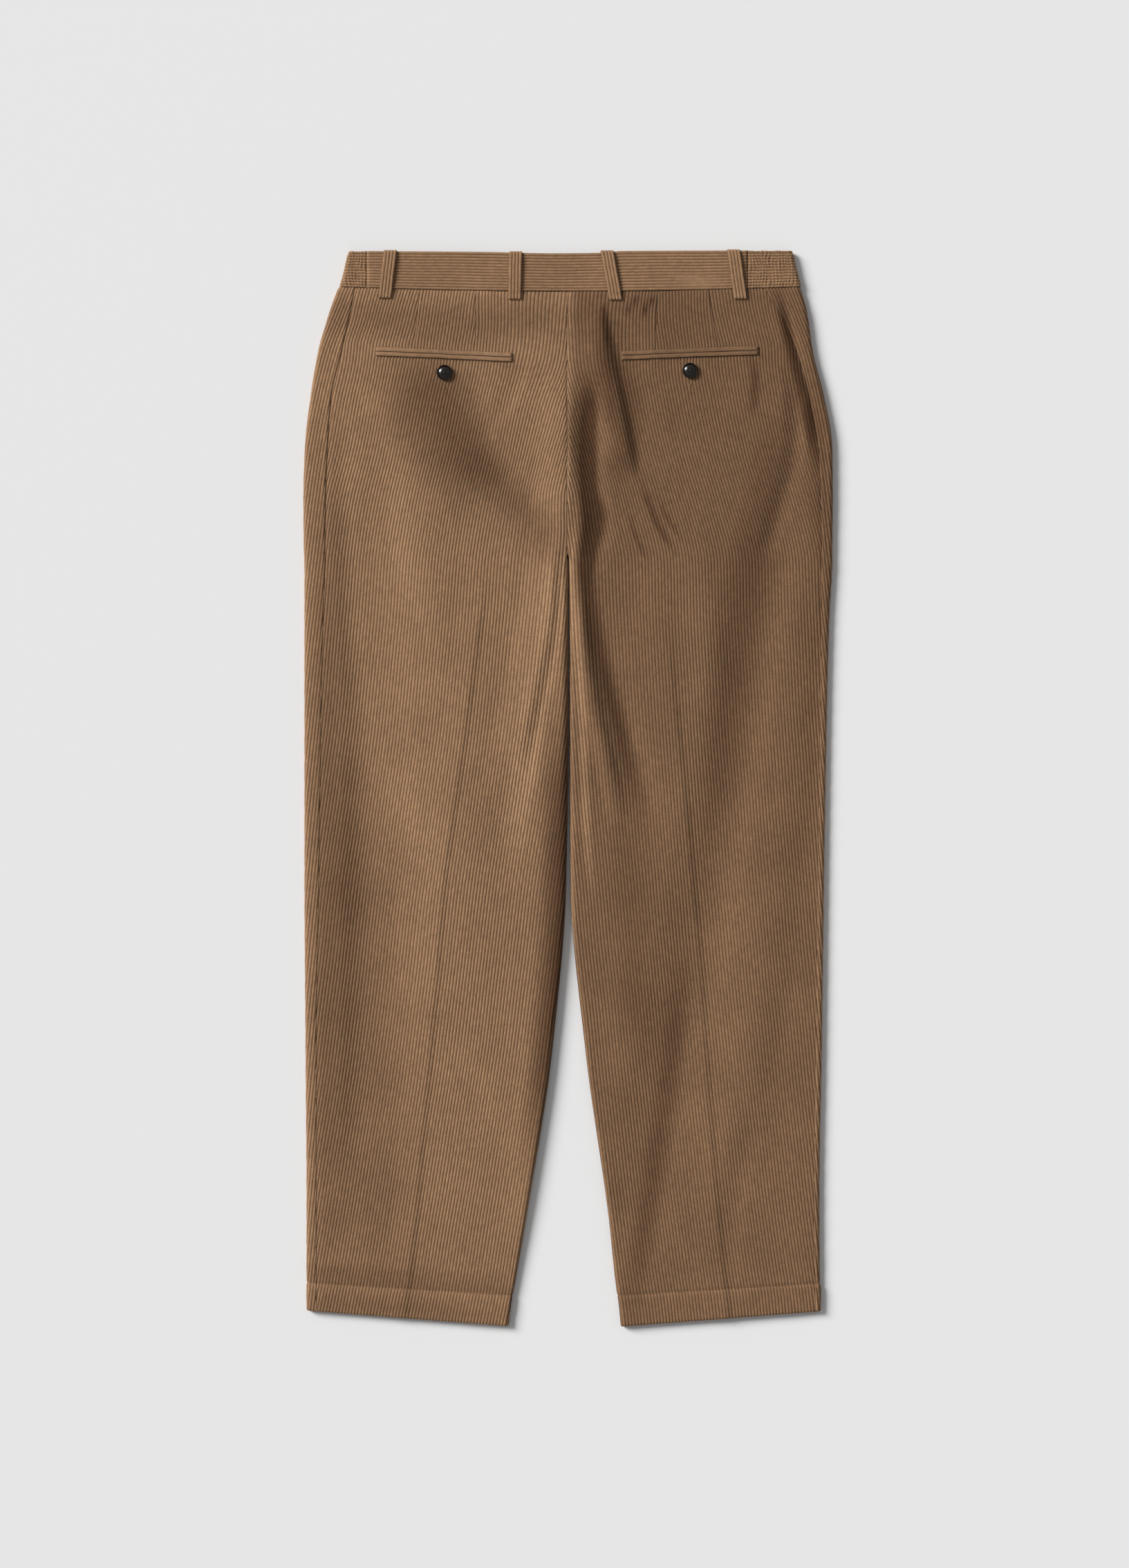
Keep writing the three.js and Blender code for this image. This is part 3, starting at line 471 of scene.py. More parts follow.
def stroke(fold, x, y, ends):
    """Height of one fold: a soft bell across its path, fading over a share of it at both ends."""
    path = smooth_path(fold.path, PATH_STEPS + 1)
    reach = max(fold.left, fold.right)
    near = (x > path[:, 0].min() - reach) & (x < path[:, 0].max() + reach)
    near &= (y > path[:, 1].min() - reach) & (y < path[:, 1].max() + reach)
    height = np.zeros(x.shape)
    px, py = x[near], y[near]
    nearest = np.full(px.shape, np.inf)
    along = np.zeros(px.shape)
    right = np.zeros(px.shape, bool)
    for k in range(PATH_STEPS):
        ax, ay = path[k]
        dx, dy = path[k + 1] - path[k]
        run = np.clip(((px - ax) * dx + (py - ay) * dy) / (dx * dx + dy * dy), 0, 1)
        ox, oy = px - ax - run * dx, py - ay - run * dy
        distance = np.hypot(ox, oy)
        closer = distance < nearest
        nearest[closer] = distance[closer]
        along[closer] = (k + run[closer]) / PATH_STEPS
        right[closer] = (dx * oy - dy * ox > 0)[closer]
    reached = np.clip(nearest / np.where(right, fold.right, fold.left), 0, 1)
    fade = ease(along / ends) * ease((1 - along) / ends)
    height[near] = fold.rise * fade * (1 - reached**2) ** 2
    return height


def nap_and_shade_of(x, y):
    """How much darker (negative) or lighter a place is painted: painted shade and light, partly for how the
    nap lies.
    """
    whole = ease((x + 1) / 12) * smooth_read(*RIGHT_LEG_NAP_AND_SHADE, y)
    return np.maximum(whole + sum(stroke(patch, x, y, NAP_AND_SHADE_FADE) for patch in NAP_AND_SHADE_PATCHES), DARKEST_NAP_AND_SHADE)


def cloth_height(side, out, y):
    """Height of the cloth's upper side between wales."""
    top, edge = section("top", y), section("edge", y)
    from_outer = cut(side, "outer", y) - out
    from_inner = out - cut(side, "inner", y)
    leg = ease((LEGS_PART[0] - y) / LEGS_PART[1])
    height = top - (top - edge) * (1 - np.clip(from_outer / OUTER_SLOPE, 0, 1)) ** 2
    swell, reach = INNER_SWELL[side]
    swell = swell * top * leg * ease((y - HEM_STITCH_Y) / HEM_FLAT)
    height = height + swell * (1 - np.clip(from_inner / reach, 0, 1)) ** 2
    outer_hold = ease((from_outer - edge / 2) / ROLL_HOLD)
    hold = outer_hold * (1 - leg * (1 - ease((from_inner - edge / 2) / ROLL_HOLD)))
    x = out * SIGN[side]
    folds = sum(stroke(fold, x, y, FOLD_FADE) for fold in FOLDS)
    folds = folds + sum(rise * wobble(x, y, size, seed) for rise, size, seed in UNEVEN)
    crease_y, crease_out = np.array(CREASES[side]).T
    from_crease = x - SIGN[side] * smooth_read(crease_y, crease_out, y)
    started = ease((crease_y[-1] - y) / CREASE_START)
    reach = np.where(from_crease < 0, *CREASE_REACH)
    crease = CREASE_RISE * started * np.clip(1 - np.abs(from_crease) / reach, 0, 1)
    return height + bpy.context.scene.trousers_cloth.folds * (hold * folds + crease)


def pitch():
    """Distance from one wale to the next, in millimetres."""
    return bpy.context.scene.trousers_cloth.pitch / MM


def wale_rise():
    """Height of the pile, in millimetres."""
    return bpy.context.scene.trousers_cloth.rise / MM


def wall():
    """Thickness of the cloth, in millimetres."""
    return bpy.context.scene.trousers_cloth.wall / MM


def wale_columns(first, last, phases):
    """Wale numbers of the columns from one wale to another. A whole number is a wale's crest."""
    wales = np.arange(np.floor(first), np.ceil(last) + 1)
    return (wales[:, None] + np.array(phases)[None, :]).ravel()


# Columns of a wale, as parts of its width from its crest: round where it shows, plain where it doesn't
ROUND_WALE = (-0.5, -0.3, -0.1, 0.1, 0.3)
PLAIN_WALE = (-0.5, 0.0)
# The higher, the flatter the wale's top and the narrower its groove
WALE_FULLNESS = 2.5


def strip_wales(count):
    """Wale numbers of the columns across a strip of so many wales, from groove to groove."""
    numbers = wale_columns(1, count, ROUND_WALE)
    return np.append(numbers[numbers < count + 0.5], count + 0.5)


def relief_of(wales):
    """Share of the pile's height at a wale number: a rounded top between narrow grooves."""
    off = np.abs(wales - np.round(wales)) * 2
    return np.clip(1 - off**WALE_FULLNESS, 0, 1)


def panel_rows(spacing):
    """y of a panel's rows, close together at the waist seam, the hem's stitches and its edge."""
    seam = WAIST_Y - np.array([0, 0.8, 1.8, 3.2, 5.5])
    # Beside the fork the rows are twice as close
    bends = [WAIST_Y - 9, 250, FORK_Y, 212, HEM_STITCH_Y + 4]
    steps = [spacing, spacing / 2, spacing / 2, spacing * 1.1]
    middle = [
        np.linspace(high, low, max(2, int(np.ceil((high - low) / step)) + 1))[:-1]
        for high, low, step in zip(bends, bends[1:], steps)
    ]
    stitch = HEM_STITCH_Y - np.array([-4, -2, -1, 0, 1, 2, 3.2, 5])
    band = HEM_EDGE_Y + np.array([15, 8, 3, 1.6, 0.7, 0.2, 0])
    return np.concatenate([seam, *middle, stitch, band])


def row_height(out, x, y):
    """y of a point of a row: sloping, and following the waist seam at the top."""
    sloped = y + section("slope", y) * (out - SLOPE_FROM)
    at_seam = waist_seam(x) - SEWN_GAP / 2 - (WAIST_Y - y)
    share = ease((y - SEAM_TURN_Y) / (WAIST_Y - SEAM_TURN_Y))
    return sloped + (at_seam - sloped) * share


def near_stitches(y, width):
    """1 on the hem's line of stitches, less to both sides of it."""
    return np.exp(-(((y - HEM_STITCH_Y) / width) ** 2))


def seam_dip(distance, depth, reach):
    """How far cloth is drawn down beside a seam."""
    return -depth * (1 - np.clip(distance / reach, 0, 1)) ** 2


def side_seam_share(y):
    """How deep the side seam lies: it fades out down the thigh."""
    return 0.4 + 0.6 * ease((y - 120) / 150)


def row_lift(y):
    """Lift of a panel at its waist seam, at the hem's stitches and at the hem's edge."""
    depth, width = HEM_STITCH_DIP
    stitched = -depth * near_stitches(y, width)
    return seam_dip(WAIST_Y - y, *WAIST_DIP) + stitched + seam_dip(y - HEM_EDGE_Y, *HEM_EDGE_DIP)


def pressed(y):
    """Share of the pile that stands up: the hem's stitches hold it down."""
    share, width = STITCH_PRESS
    return 1 - share * near_stitches(y, width)


def chevron(out, y):
    """The wales' extra lean beside the centre back seam."""
    return out + smooth_read(*GRAIN_TURN, y) * (1 - ease(out / GRAIN_TURN_REACH))


def dart_line(dart, y):
    """How far y lies above a dart's tip, and the line's distance outward there."""
    above = np.maximum(0, y - dart.tip_y)
    share = np.clip(above / (WAIST_Y - dart.tip_y), 0, 1)
    return above, dart.tip + (dart.waist - dart.tip) * share


def take_darts(side, out, y):
    """Moves the grain over at each dart. The wales that reach its line end there."""
    for dart in DARTS[side]:
        above, line = dart_line(dart, y)
        out = np.where(out <= line, out, np.maximum(line, out - above * dart.turn))
    return out


def dart_groove(side, out, y):
    """The fine valley along each dart's line, and the ridge beside it."""
    lift = np.zeros(out.shape)
    for dart in DARTS[side]:
        above, line = dart_line(dart, y)
        for rise, width, inward in DART_RELIEF:
            lift += rise * ease(above / DART_START) * np.exp(-(((out - line + inward) / width) ** 2))
    return lift


def back_panel_points(side, spacing):
    """Points and cloth values of a back panel, waist to hem, rolled down to the inseam."""
    ys = panel_rows(spacing)
    spine = cut(side, "spine", ys)
    # Enough wales to reach both edges, also where darts and chevron move the grain
    first = np.min(cut(side, "inner", ys) - 8 - spine) / pitch() - 5
    last = np.max(cut(side, "seam", ys) - spine + 26) / pitch()
    wales, y = np.meshgrid(wale_columns(first, last, ROUND_WALE), ys)
    # The wales don't run quite straight, least of all at the seat
    sway = 0.3 * wobble(wales * 3, y, 31, 5) + 0.5 * ease((y - 360) / 60) * wobble(wales * 2, y, 14, 2)
    grain = cut(side, "spine", y) + wales * pitch() + sway
    rolled = ease((FORK_Y - y) / 12)
    inner = cut(side, "inner", y) - (SEAM_GAP - SEWN_GAP) / 2 * (1 - rolled)
    seam = cut(side, "seam", y) - SEWN_GAP / 2
    start = cloth_height(side, inner + 3, y)
    radius = np.maximum((start / 2 - SEWN_GAP / 2) * rolled, 1e-3)
    bend = inner + radius
    out = np.clip(take_darts(side, chevron(grain, y), y), bend - radius * np.pi / 2 * rolled, seam)
    on_top = out >= bend
    flat = np.maximum(out, bend)
    relief = relief_of(wales)
    lift = relief * wale_rise() * pressed(y) + row_lift(y) + dart_groove(side, out, y)
    lift = lift + side_seam_share(y) * seam_dip(seam - out, *SIDE_SEAM_DIP)
    lift = lift + (1 - rolled) * seam_dip(out - inner, *CENTRE_SEAM_DIP)
    angle = (bend - out) / radius
    reach = radius + lift
    u = np.where(on_top, out, bend - reach * np.sin(np.clip(angle, 0, np.pi / 2)))
    z = cloth_height(side, flat, y) + lift
    z = np.where(on_top, z, start - radius + reach * np.cos(np.clip(angle, 0, np.pi / 2)))
    x = u * SIGN[side]
    points = np.stack([x, row_height(u, x, y), z], axis=2)
    return points, np.stack([wales + FIRST_WALE["back"], -y, relief], axis=2)


def front_panel_points(side, spacing):
    """Points and cloth values of a front panel: from the side seam outward, round the outer edge,
    along the ground, and on the leg up to the inseam."""
    # More rows over the hip, where the side seam curves
    hip = np.concatenate([np.linspace(a, b, 12)[:-1] for a, b in ((475, 400), (400, 330), (330, 262))])
    ys = np.unique(np.concatenate([panel_rows(spacing), hip]))[::-1]
    seam = cut(side, "seam", ys) + SEWN_GAP / 2
    drift = smooth_read(*FRONT_GRAIN, ys)
    # The round wales end past the outer roll, where the cloth reaches the ground
    turned = 2.2 * section("edge", ys)
    first = np.min(seam - drift) / pitch()
    shown = np.max(cut(side, "outer", ys) + turned - drift) / pitch()
    last = np.max(2 * cut(side, "outer", ys) + turned - drift) / pitch()
    numbers = np.concatenate([
        wale_columns(first, shown, ROUND_WALE), wale_columns(np.ceil(shown) + 1, last, PLAIN_WALE)
    ])
    wales, y = np.meshgrid(numbers, ys)
    seam = cut(side, "seam", y) + SEWN_GAP / 2
    inner = cut(side, "inner", y)
    edge = cut(side, "outer", y) - wale_rise() / 2
    radius = cloth_height(side, edge - section("edge", y) / 2, y) / 2
    turn = edge - radius
    top_end = turn - seam
    roll_end = top_end + np.pi * radius
    leg = ease((FORK_Y - y) / 12)
    curl = np.maximum((cloth_height(side, inner + 3, y) / 2 - SEWN_GAP / 2) * leg, 1e-3)
    floor_end = roll_end + turn - inner - curl
    run = wales * pitch() + smooth_read(*FRONT_GRAIN, y) - seam
    run = np.clip(run, 0, floor_end + curl * np.pi / 2)
    relief = relief_of(wales)
    rise, width = FRONT_SEAM_RISE
    raised = rise * (1 - ease(run / width)) + seam_dip(run, *FRONT_SEAM_DIP)
    lift = relief * wale_rise() * pressed(y) + row_lift(y) + side_seam_share(y) * raised
    roll = np.clip((run - top_end) / radius, 0, np.pi)
    curled = np.clip((run - floor_end) / curl, 0, np.pi / 2)
    under = run > roll_end
    # The pile under the garment is pressed flat by its weight, so only the grooves show there
    pressed_in = (1 - relief) * wale_rise() * UNDER_GROOVES
    out_top = seam + run
    out_roll = turn + (radius + lift) * np.sin(roll)
    out_floor = turn - (run - roll_end) + np.where(curled > 0, curled * curl - curl * np.sin(curled), 0)
    out = np.where(run < top_end, out_top, np.where(under, out_floor, out_roll))
    z_top = cloth_height(side, np.minimum(out_top, turn), y) + lift
    z_roll = radius + (radius + lift) * np.cos(roll)
    z_floor = curl * (1 - np.cos(curled)) + pressed_in * np.cos(curled)
    z = np.where(run < top_end, z_top, np.where(under, z_floor, np.maximum(z_roll, 0)))
    x = out * SIGN[side]
    points = np.stack([x, row_height(out, x, y), z], axis=2)
    return points, np.stack([wales + FIRST_WALE["front"], -y, relief], axis=2)


def faces_up(points, on_ground):
    """Whether the grid's faces, as made, look up where the cloth is on top."""
    across = points[:-1, 1:] - points[:-1, :-1]
    along = points[1:, :-1] - points[:-1, :-1]
    area = across[..., 0] * along[..., 1] - across[..., 1] * along[..., 0]
    z = points[:-1, :-1, 2]
    upper = z >= np.maximum(z.mean(axis=1, keepdims=True), 0 if on_ground else z.max() / 2)
    return area[upper].sum() > 0


def cloth_sheet(name, points, cloth, thickness, material, on_ground=False, with_nap_and_shade=False):
    """A sheet of cloth from rows of points, given its wall by Solidify. Points that lie on each
    other, where wales are cut off at a seam, are merged."""
    rows, columns, _ = points.shape
    grid = bmesh.new()
    bmesh.ops.create_grid(grid, x_segments=columns - 1, y_segments=rows - 1, size=1)
    mesh = bpy.data.meshes.new(name)
    grid.to_mesh(mesh)
    grid.free()
    mesh.vertices.foreach_set("co", ((points + SHIFT) * MM).reshape(-1))
    values = mesh.attributes.new("cloth", "FLOAT_VECTOR", "POINT")
    values.data.foreach_set("vector", cloth.reshape(-1))
    # Where asked, the points carry painted shade and light in the nap attribute, partly for how the nap lies
    if with_nap_and_shade:
        nap = nap_and_shade_of(points[..., 0], points[..., 1])
        shade = mesh.attributes.new("nap", "FLOAT", "POINT")
        shade.data.foreach_set("value", nap.reshape(-1))
    sewn = bmesh.new()
    sewn.from_mesh(mesh)
    bmesh.ops.remove_doubles(sewn, verts=sewn.verts[:], dist=SAME_PLACE * MM)
    if faces_up(points, on_ground) == on_ground:
        bmesh.ops.reverse_faces(sewn, faces=sewn.faces[:])
    for face in sewn.faces:
        face.smooth = True
    sewn.to_mesh(mesh)
    sewn.free()
    piece = bpy.data.objects.new(name, mesh)
    bpy.context.scene.collection.objects.link(piece)
    mesh.materials.append(material)
    mesh.materials.append(get_material("wrong_side", wrong_side_material))
    solid = piece.modifiers.new("wall", "SOLIDIFY")
    solid.thickness = thickness * MM
    solid.offset = -1
    solid.material_offset = 1
    solid.material_offset_rim = 0
    return piece


def thicken_hem(piece):
    """Gives the hem below its stitches the thickness of two layers."""
    group = piece.vertex_groups.new(name="double")
    line = (HEM_STITCH_Y + SHIFT[1]) * MM
    slope = section("slope", HEM_STITCH_Y)
    below = [v.index for v in piece.data.vertices if v.co.y < line + slope * (abs(v.co.x) - SLOPE_FROM * MM)]
    group.add(below, 1.0, "REPLACE")
    solid = piece.modifiers["wall"]
    solid.vertex_group = group.name
    solid.thickness_vertex_group = HEM_SINGLE
    solid.thickness = solid.thickness / HEM_SINGLE


def finish_piece(piece, slot, *nodes):
    """What every piece of the garment gets: its body and the node it stands for."""
    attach(piece, "root")
    if nodes:
        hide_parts(*nodes)
    return piece


def cut_size(points):
    """Width, length and area in metres of the flat cut, from the distances between its points. Past
    a seam the wales that it cuts off repeat each other, and they aren't measured."""
    across = np.linalg.norm(np.diff(points, axis=1), axis=2)
    wale = len(ROUND_WALE)
    repeated = np.linalg.norm(points[:, wale:] - points[:, :-wale], axis=2) < SAME_PLACE
    across[:, wale - 1:][repeated] = 0
    widths = across.sum(axis=1)
    steps = np.linalg.norm(np.diff(points[:, points.shape[1] // 2], axis=0), axis=1)
    area = np.sum((widths[:-1] + widths[1:]) / 2 * steps)
    return widths.max() * MM, steps.sum() * MM, area * MM * MM


def finish_sheet(piece, points, slot, node):
    """Finishes a sheet of cloth and works out the size it was cut to."""
    finish_piece(piece, slot, node)
    width, length, area = cut_size(points)


def mesh_piece(name, body, material):
    """An object with smooth faces from a bmesh."""
    for face in body.faces:
        face.smooth = True
    mesh = bpy.data.meshes.new(name)
    body.to_mesh(mesh)
    body.free()
    piece = bpy.data.objects.new(name, mesh)
    bpy.context.scene.collection.objects.link(piece)
    mesh.materials.append(material)
    return piece


def add_node(tree, kind, inputs=None, **settings):
    """Adds one shader node. Inputs are values or the output sockets of other nodes."""
    node = tree.nodes.new(kind)
    for name, value in settings.items():
        setattr(node, name, value)
    for key, value in (inputs or {}).items():
        if isinstance(value, bpy.types.NodeSocket):
            tree.links.new(value, node.inputs[key])
        else:
            node.inputs[key].default_value = value
    return node


def get_material(name, make):
    """The material of that name, made the first time it is asked for."""
    return bpy.data.materials.get(name) or make(name)


def new_material(name):
    """An empty node material with its shader."""
    material = bpy.data.materials.new(name)
    material.use_nodes = True
    material.node_tree.nodes.clear()
    tree = material.node_tree
    shader = add_node(tree, "ShaderNodeBsdfPrincipled")
    add_node(tree, "ShaderNodeOutputMaterial", {"Surface": shader.outputs["BSDF"]})
    return material, tree, shader


def corduroy_material(name, darkness=1.0):
    """Cotton corduroy, 8 wales to the inch, dyed brown and washed. The pile is cut weft floats
    brushed up: its tips catch the light, and it is darker down in the grooves, partly painted shade and
    partly where the ground weave shows. The nap lies unevenly along each wale, washing has mottled the
    dye, and the nap attribute adds painted shade and light, partly for how the nap lies."""
    sizes = bpy.context.scene.trousers_cloth
    material, tree, shader = new_material(name)
    cloth = add_node(tree, "ShaderNodeAttribute", attribute_name="cloth")
    parts = add_node(tree, "ShaderNodeSeparateXYZ", {0: cloth.outputs["Vector"]})
    wale, along, relief = parts.outputs
    number = add_node(tree, "ShaderNodeMath", {0: wale}, operation="ROUND").outputs[0]
    apart = add_node(tree, "ShaderNodeMath", {0: number, 1: 7.31}, operation="MULTIPLY").outputs[0]
    # Nap that leans this way and that, in patches about 7 mm long on each wale
    stretched = add_node(
        tree, "ShaderNodeMath", {0: along, 1: 1 / NAP_PATCH}, operation="MULTIPLY"
    ).outputs[0]
    nap_at = add_node(tree, "ShaderNodeCombineXYZ", {"X": apart, "Y": stretched})
    nap = add_node(tree, "ShaderNodeTexNoise", {"Vector": nap_at.outputs[0], "Scale": 1.0, "Detail": 2.0})
    # Tufts of the pile, drawn at 0.9 mm along and a third of a wale across so that they show
    tuft_x = add_node(tree, "ShaderNodeMath", {0: wale, 1: TUFTS_ACROSS}, operation="MULTIPLY").outputs[0]
    tuft_y = add_node(tree, "ShaderNodeMath", {0: along, 1: 1 / TUFT}, operation="MULTIPLY").outputs[0]
    tuft_at = add_node(tree, "ShaderNodeCombineXYZ", {"X": tuft_x, "Y": tuft_y})
    tufts = add_node(tree, "ShaderNodeTexNoise", {"Vector": tuft_at.outputs[0], "Scale": 1.0, "Detail": 3.0})
    # Washed mottling, about 60 mm across
    place = add_node(tree, "ShaderNodeTexCoord").outputs["Object"]
    mottle_scale = 1 / (MOTTLING * MM)
    mottle = add_node(tree, "ShaderNodeTexNoise", {"Vector": place, "Scale": mottle_scale, "Detail": 3.0})
    # Partly painted shade: the colour goes from the tip colour on the wales' tops to the darker groove colour
    # down in the grooves, where shade falls and the ground weave shows
    depth = add_node(
        tree, "ShaderNodeMapRange", {"Value": relief, "From Min": 0.05, "From Max": 0.85},
        interpolation_type="SMOOTHSTEP",
    )
    dyed = add_node(
        tree, "ShaderNodeMix", {0: depth.outputs[0], "A": sizes.groove, "B": sizes.tip}, data_type="RGBA"
    )
    colour = dyed.outputs["Result"]
    # Painted shade and light from the nap attribute, partly for how the nap lies: darker patches also turn a
    # little redder
    lie = add_node(tree, "ShaderNodeAttribute", attribute_name="nap").outputs["Fac"]
    brushed = add_node(
        tree, "ShaderNodeVectorMath", {0: lie, 1: (1.08, 1.16, 1.24), 2: (1, 1, 1)}, operation="MULTIPLY_ADD"
    )
    colour = add_node(
        tree, "ShaderNodeVectorMath", {0: colour, 1: brushed.outputs[0]}, operation="MULTIPLY"
    ).outputs[0]
    for source, low, high in ((nap, 0.84, 1.16), (tufts, 0.72, 1.28), (mottle, 0.91, 1.09)):
        amount = add_node(
            tree, "ShaderNodeMapRange",
            {"Value": source.outputs[0], "From Min": 0.25, "From Max": 0.75,
             "To Min": low * darkness, "To Max": high * darkness},
        )
        darkness = 1.0
        colour = add_node(
            tree, "ShaderNodeVectorMath", {0: colour, 1: amount.outputs[0]}, operation="MULTIPLY"
        ).outputs[0]
    bump = add_node(
        tree, "ShaderNodeBump", {"Height": tufts.outputs[0], "Strength": 0.8, "Distance": 0.35 * MM}
    )
    shader.inputs["Roughness"].default_value = 0.92
    shader.inputs["Specular IOR Level"].default_value = 0.25
    shader.inputs["Sheen Weight"].default_value = 0.28
    shader.inputs["Sheen Roughness"].default_value = 0.45
    shader.inputs["Sheen Tint"].default_value = linear("#e3d6c2")
    tree.links.new(colour, shader.inputs["Base Color"])
    tree.links.new(bump.outputs[0], shader.inputs["Normal"])
    return material


def band_material(name):
    """The same corduroy cut across the piece, a little darker because its nap lies crosswise."""
    return corduroy_material(name, 0.95)


def wrong_side_material(name):
    """The wrong side of the corduroy: a flat cotton twill, dull and a little worn. Its diagonals are
    drawn 2.4 mm apart, coarser than they are, so that they show."""
    material, tree, shader = new_material(name)
    place = add_node(tree, "ShaderNodeTexCoord").outputs["Object"]
    turned = add_node(tree, "ShaderNodeMapping", {"Vector": place, "Rotation": (0, 0, 0.9)})
    lines = add_node(
        tree, "ShaderNodeTexWave",
        {"Vector": turned.outputs[0], "Scale": WAVE_LENGTH / (TWILL * MM), "Distortion": 1.5},
    )
    worn = add_node(tree, "ShaderNodeTexNoise", {"Vector": place, "Scale": 1 / 0.03, "Detail": 4.0})
    blend = add_node(
        tree, "ShaderNodeMath", {0: lines.outputs["Fac"], 1: worn.outputs[0]}, operation="MULTIPLY"
    )
    colour = add_node(
        tree, "ShaderNodeMix",
        {0: blend.outputs[0], "A": linear("#5a4230"), "B": linear("#7d6149")}, data_type="RGBA",
    )
    bump = add_node(
        tree, "ShaderNodeBump", {"Height": lines.outputs["Fac"], "Strength": 0.4, "Distance": 0.2 * MM}
    )
    shader.inputs["Roughness"].default_value = 0.95
    tree.links.new(colour.outputs["Result"], shader.inputs["Base Color"])
    tree.links.new(bump.outputs[0], shader.inputs["Normal"])
    return material


def resin_material(name):
    """Cast and polished polyester resin: near black, glossy, with faint streaks of horn."""
    sizes = bpy.context.scene.trousers_trims
    material, tree, shader = new_material(name)
    place = add_node(tree, "ShaderNodeTexCoord").outputs["Object"]
    streaks = add_node(
        tree, "ShaderNodeTexNoise",
        {"Vector": place, "Scale": 1 / (STREAK * MM), "Detail": 3.0, "Distortion": 1.2},
    )
    colour = add_node(
        tree, "ShaderNodeMix",
        {0: streaks.outputs[0], "A": sizes.resin, "B": linear("#241b15")}, data_type="RGBA",
    )
    scuffs = add_node(
        tree, "ShaderNodeMapRange", {"Value": streaks.outputs[0], "To Min": 0.18, "To Max": 0.3}
    )
    shader.inputs["IOR"].default_value = 1.54
    tree.links.new(colour.outputs["Result"], shader.inputs["Base Color"])
    tree.links.new(scuffs.outputs[0], shader.inputs["Roughness"])
    return material


def button_thread_material(name):
    """The near-black thread that sews the buttons on."""
    return thread_material(name, linear("#26211e"))


def thread_material(name, colour=None):
    """Spun polyester sewing thread, two plies twisted: matt, with slanting bands of painted shade between the
    twisted plies.
    """
    sizes = bpy.context.scene.trousers_trims
    dye = colour or sizes.thread
    material, tree, shader = new_material(name)
    place = add_node(tree, "ShaderNodeTexCoord").outputs["Object"]
    turned = add_node(tree, "ShaderNodeMapping", {"Vector": place, "Rotation": (0, 0, 0.6)})
    twist_scale = WAVE_LENGTH / (PLY_TURN * MM)
    twist = add_node(tree, "ShaderNodeTexWave", {"Vector": turned.outputs[0], "Scale": twist_scale})
    # Painted shade: the colour darkens in slanting bands where the plies turn into the twist
    amount = add_node(
        tree, "ShaderNodeMapRange", {"Value": twist.outputs["Fac"], "To Min": 0.75, "To Max": 1.15}
    )
    colour = add_node(tree, "ShaderNodeVectorMath", {0: dye[:3], 1: amount.outputs[0]}, operation="MULTIPLY")
    bump = add_node(tree, "ShaderNodeBump", {"Height": twist.outputs["Fac"], "Distance": 0.1 * MM})
    shader.inputs["Roughness"].default_value = 0.8
    tree.links.new(colour.outputs[0], shader.inputs["Base Color"])
    tree.links.new(bump.outputs[0], shader.inputs["Normal"])
    return material


class TROUSERS_OT_back_panels(bpy.types.Operator):
    """Make the two back panels, with their wales, darts, creases, folds and hems"""

    bl_idname = "trousers.back_panels"
    bl_label = "Back panels"

    def execute(self, context):
        for side in SIGN:
            points, cloth = back_panel_points(side, BACK_ROWS)
            material = get_material("cotton_corduroy", corduroy_material)
            piece = cloth_sheet(f"back_panel_{side}", points, cloth, wall(), material, with_nap_and_shade=True)
            thicken_hem(piece)
            finish_sheet(piece, points, "corduroy", f"back_{side}")
        return {"FINISHED"}


class TROUSERS_OT_front_panels(bpy.types.Operator):
    """Make the two front panels, which lie on the ground and turn up round the outer edges"""

    bl_idname = "trousers.front_panels"
    bl_label = "Front panels"

    def execute(self, context):
        for side in SIGN:
            points, cloth = front_panel_points(side, FRONT_ROWS)
            material = get_material("cotton_corduroy", corduroy_material)
            piece = cloth_sheet(f"front_panel_{side}", points, cloth, wall(), material, with_nap_and_shade=True)
            thicken_hem(piece)
            finish_sheet(piece, points, "corduroy", f"front_{side}")
        return {"FINISHED"}


def band_y(x, share):
    """y of a point of the waistband, a share of its depth above the waist seam."""
    low = waist_seam(x) + SEWN_GAP / 2
    return low + (smooth_read(*BAND_EDGE, x) - low) * share


def band_turn(side, share):
    """Distance outward at which the waistband starts to roll down round the outer edge."""
    outer_top, outer_seam = BAND_OUTER[side]
    return outer_seam + (outer_top - outer_seam) * share - BAND_INSET - BAND_TOP / 2


def band_columns():
    """Wale numbers across the waistband, its share of depth and the lift of its edges."""
    numbers = strip_wales(BAND_WALES)
    share = (numbers - 0.5) / BAND_WALES
    edge = seam_dip(share, 0.6, 0.06) + seam_dip(1 - share, 0.7, 0.035)
    # Past the top edge the cloth turns down behind the band
    numbers = np.append(numbers, BAND_WALES + np.array([0.6, 0.7, 0.8]))
    share = np.append(share, [1.0, 1.0, 1.0])
    edge = np.append(edge, [-1.3, -2.2, -3.2])
    return numbers, share, edge


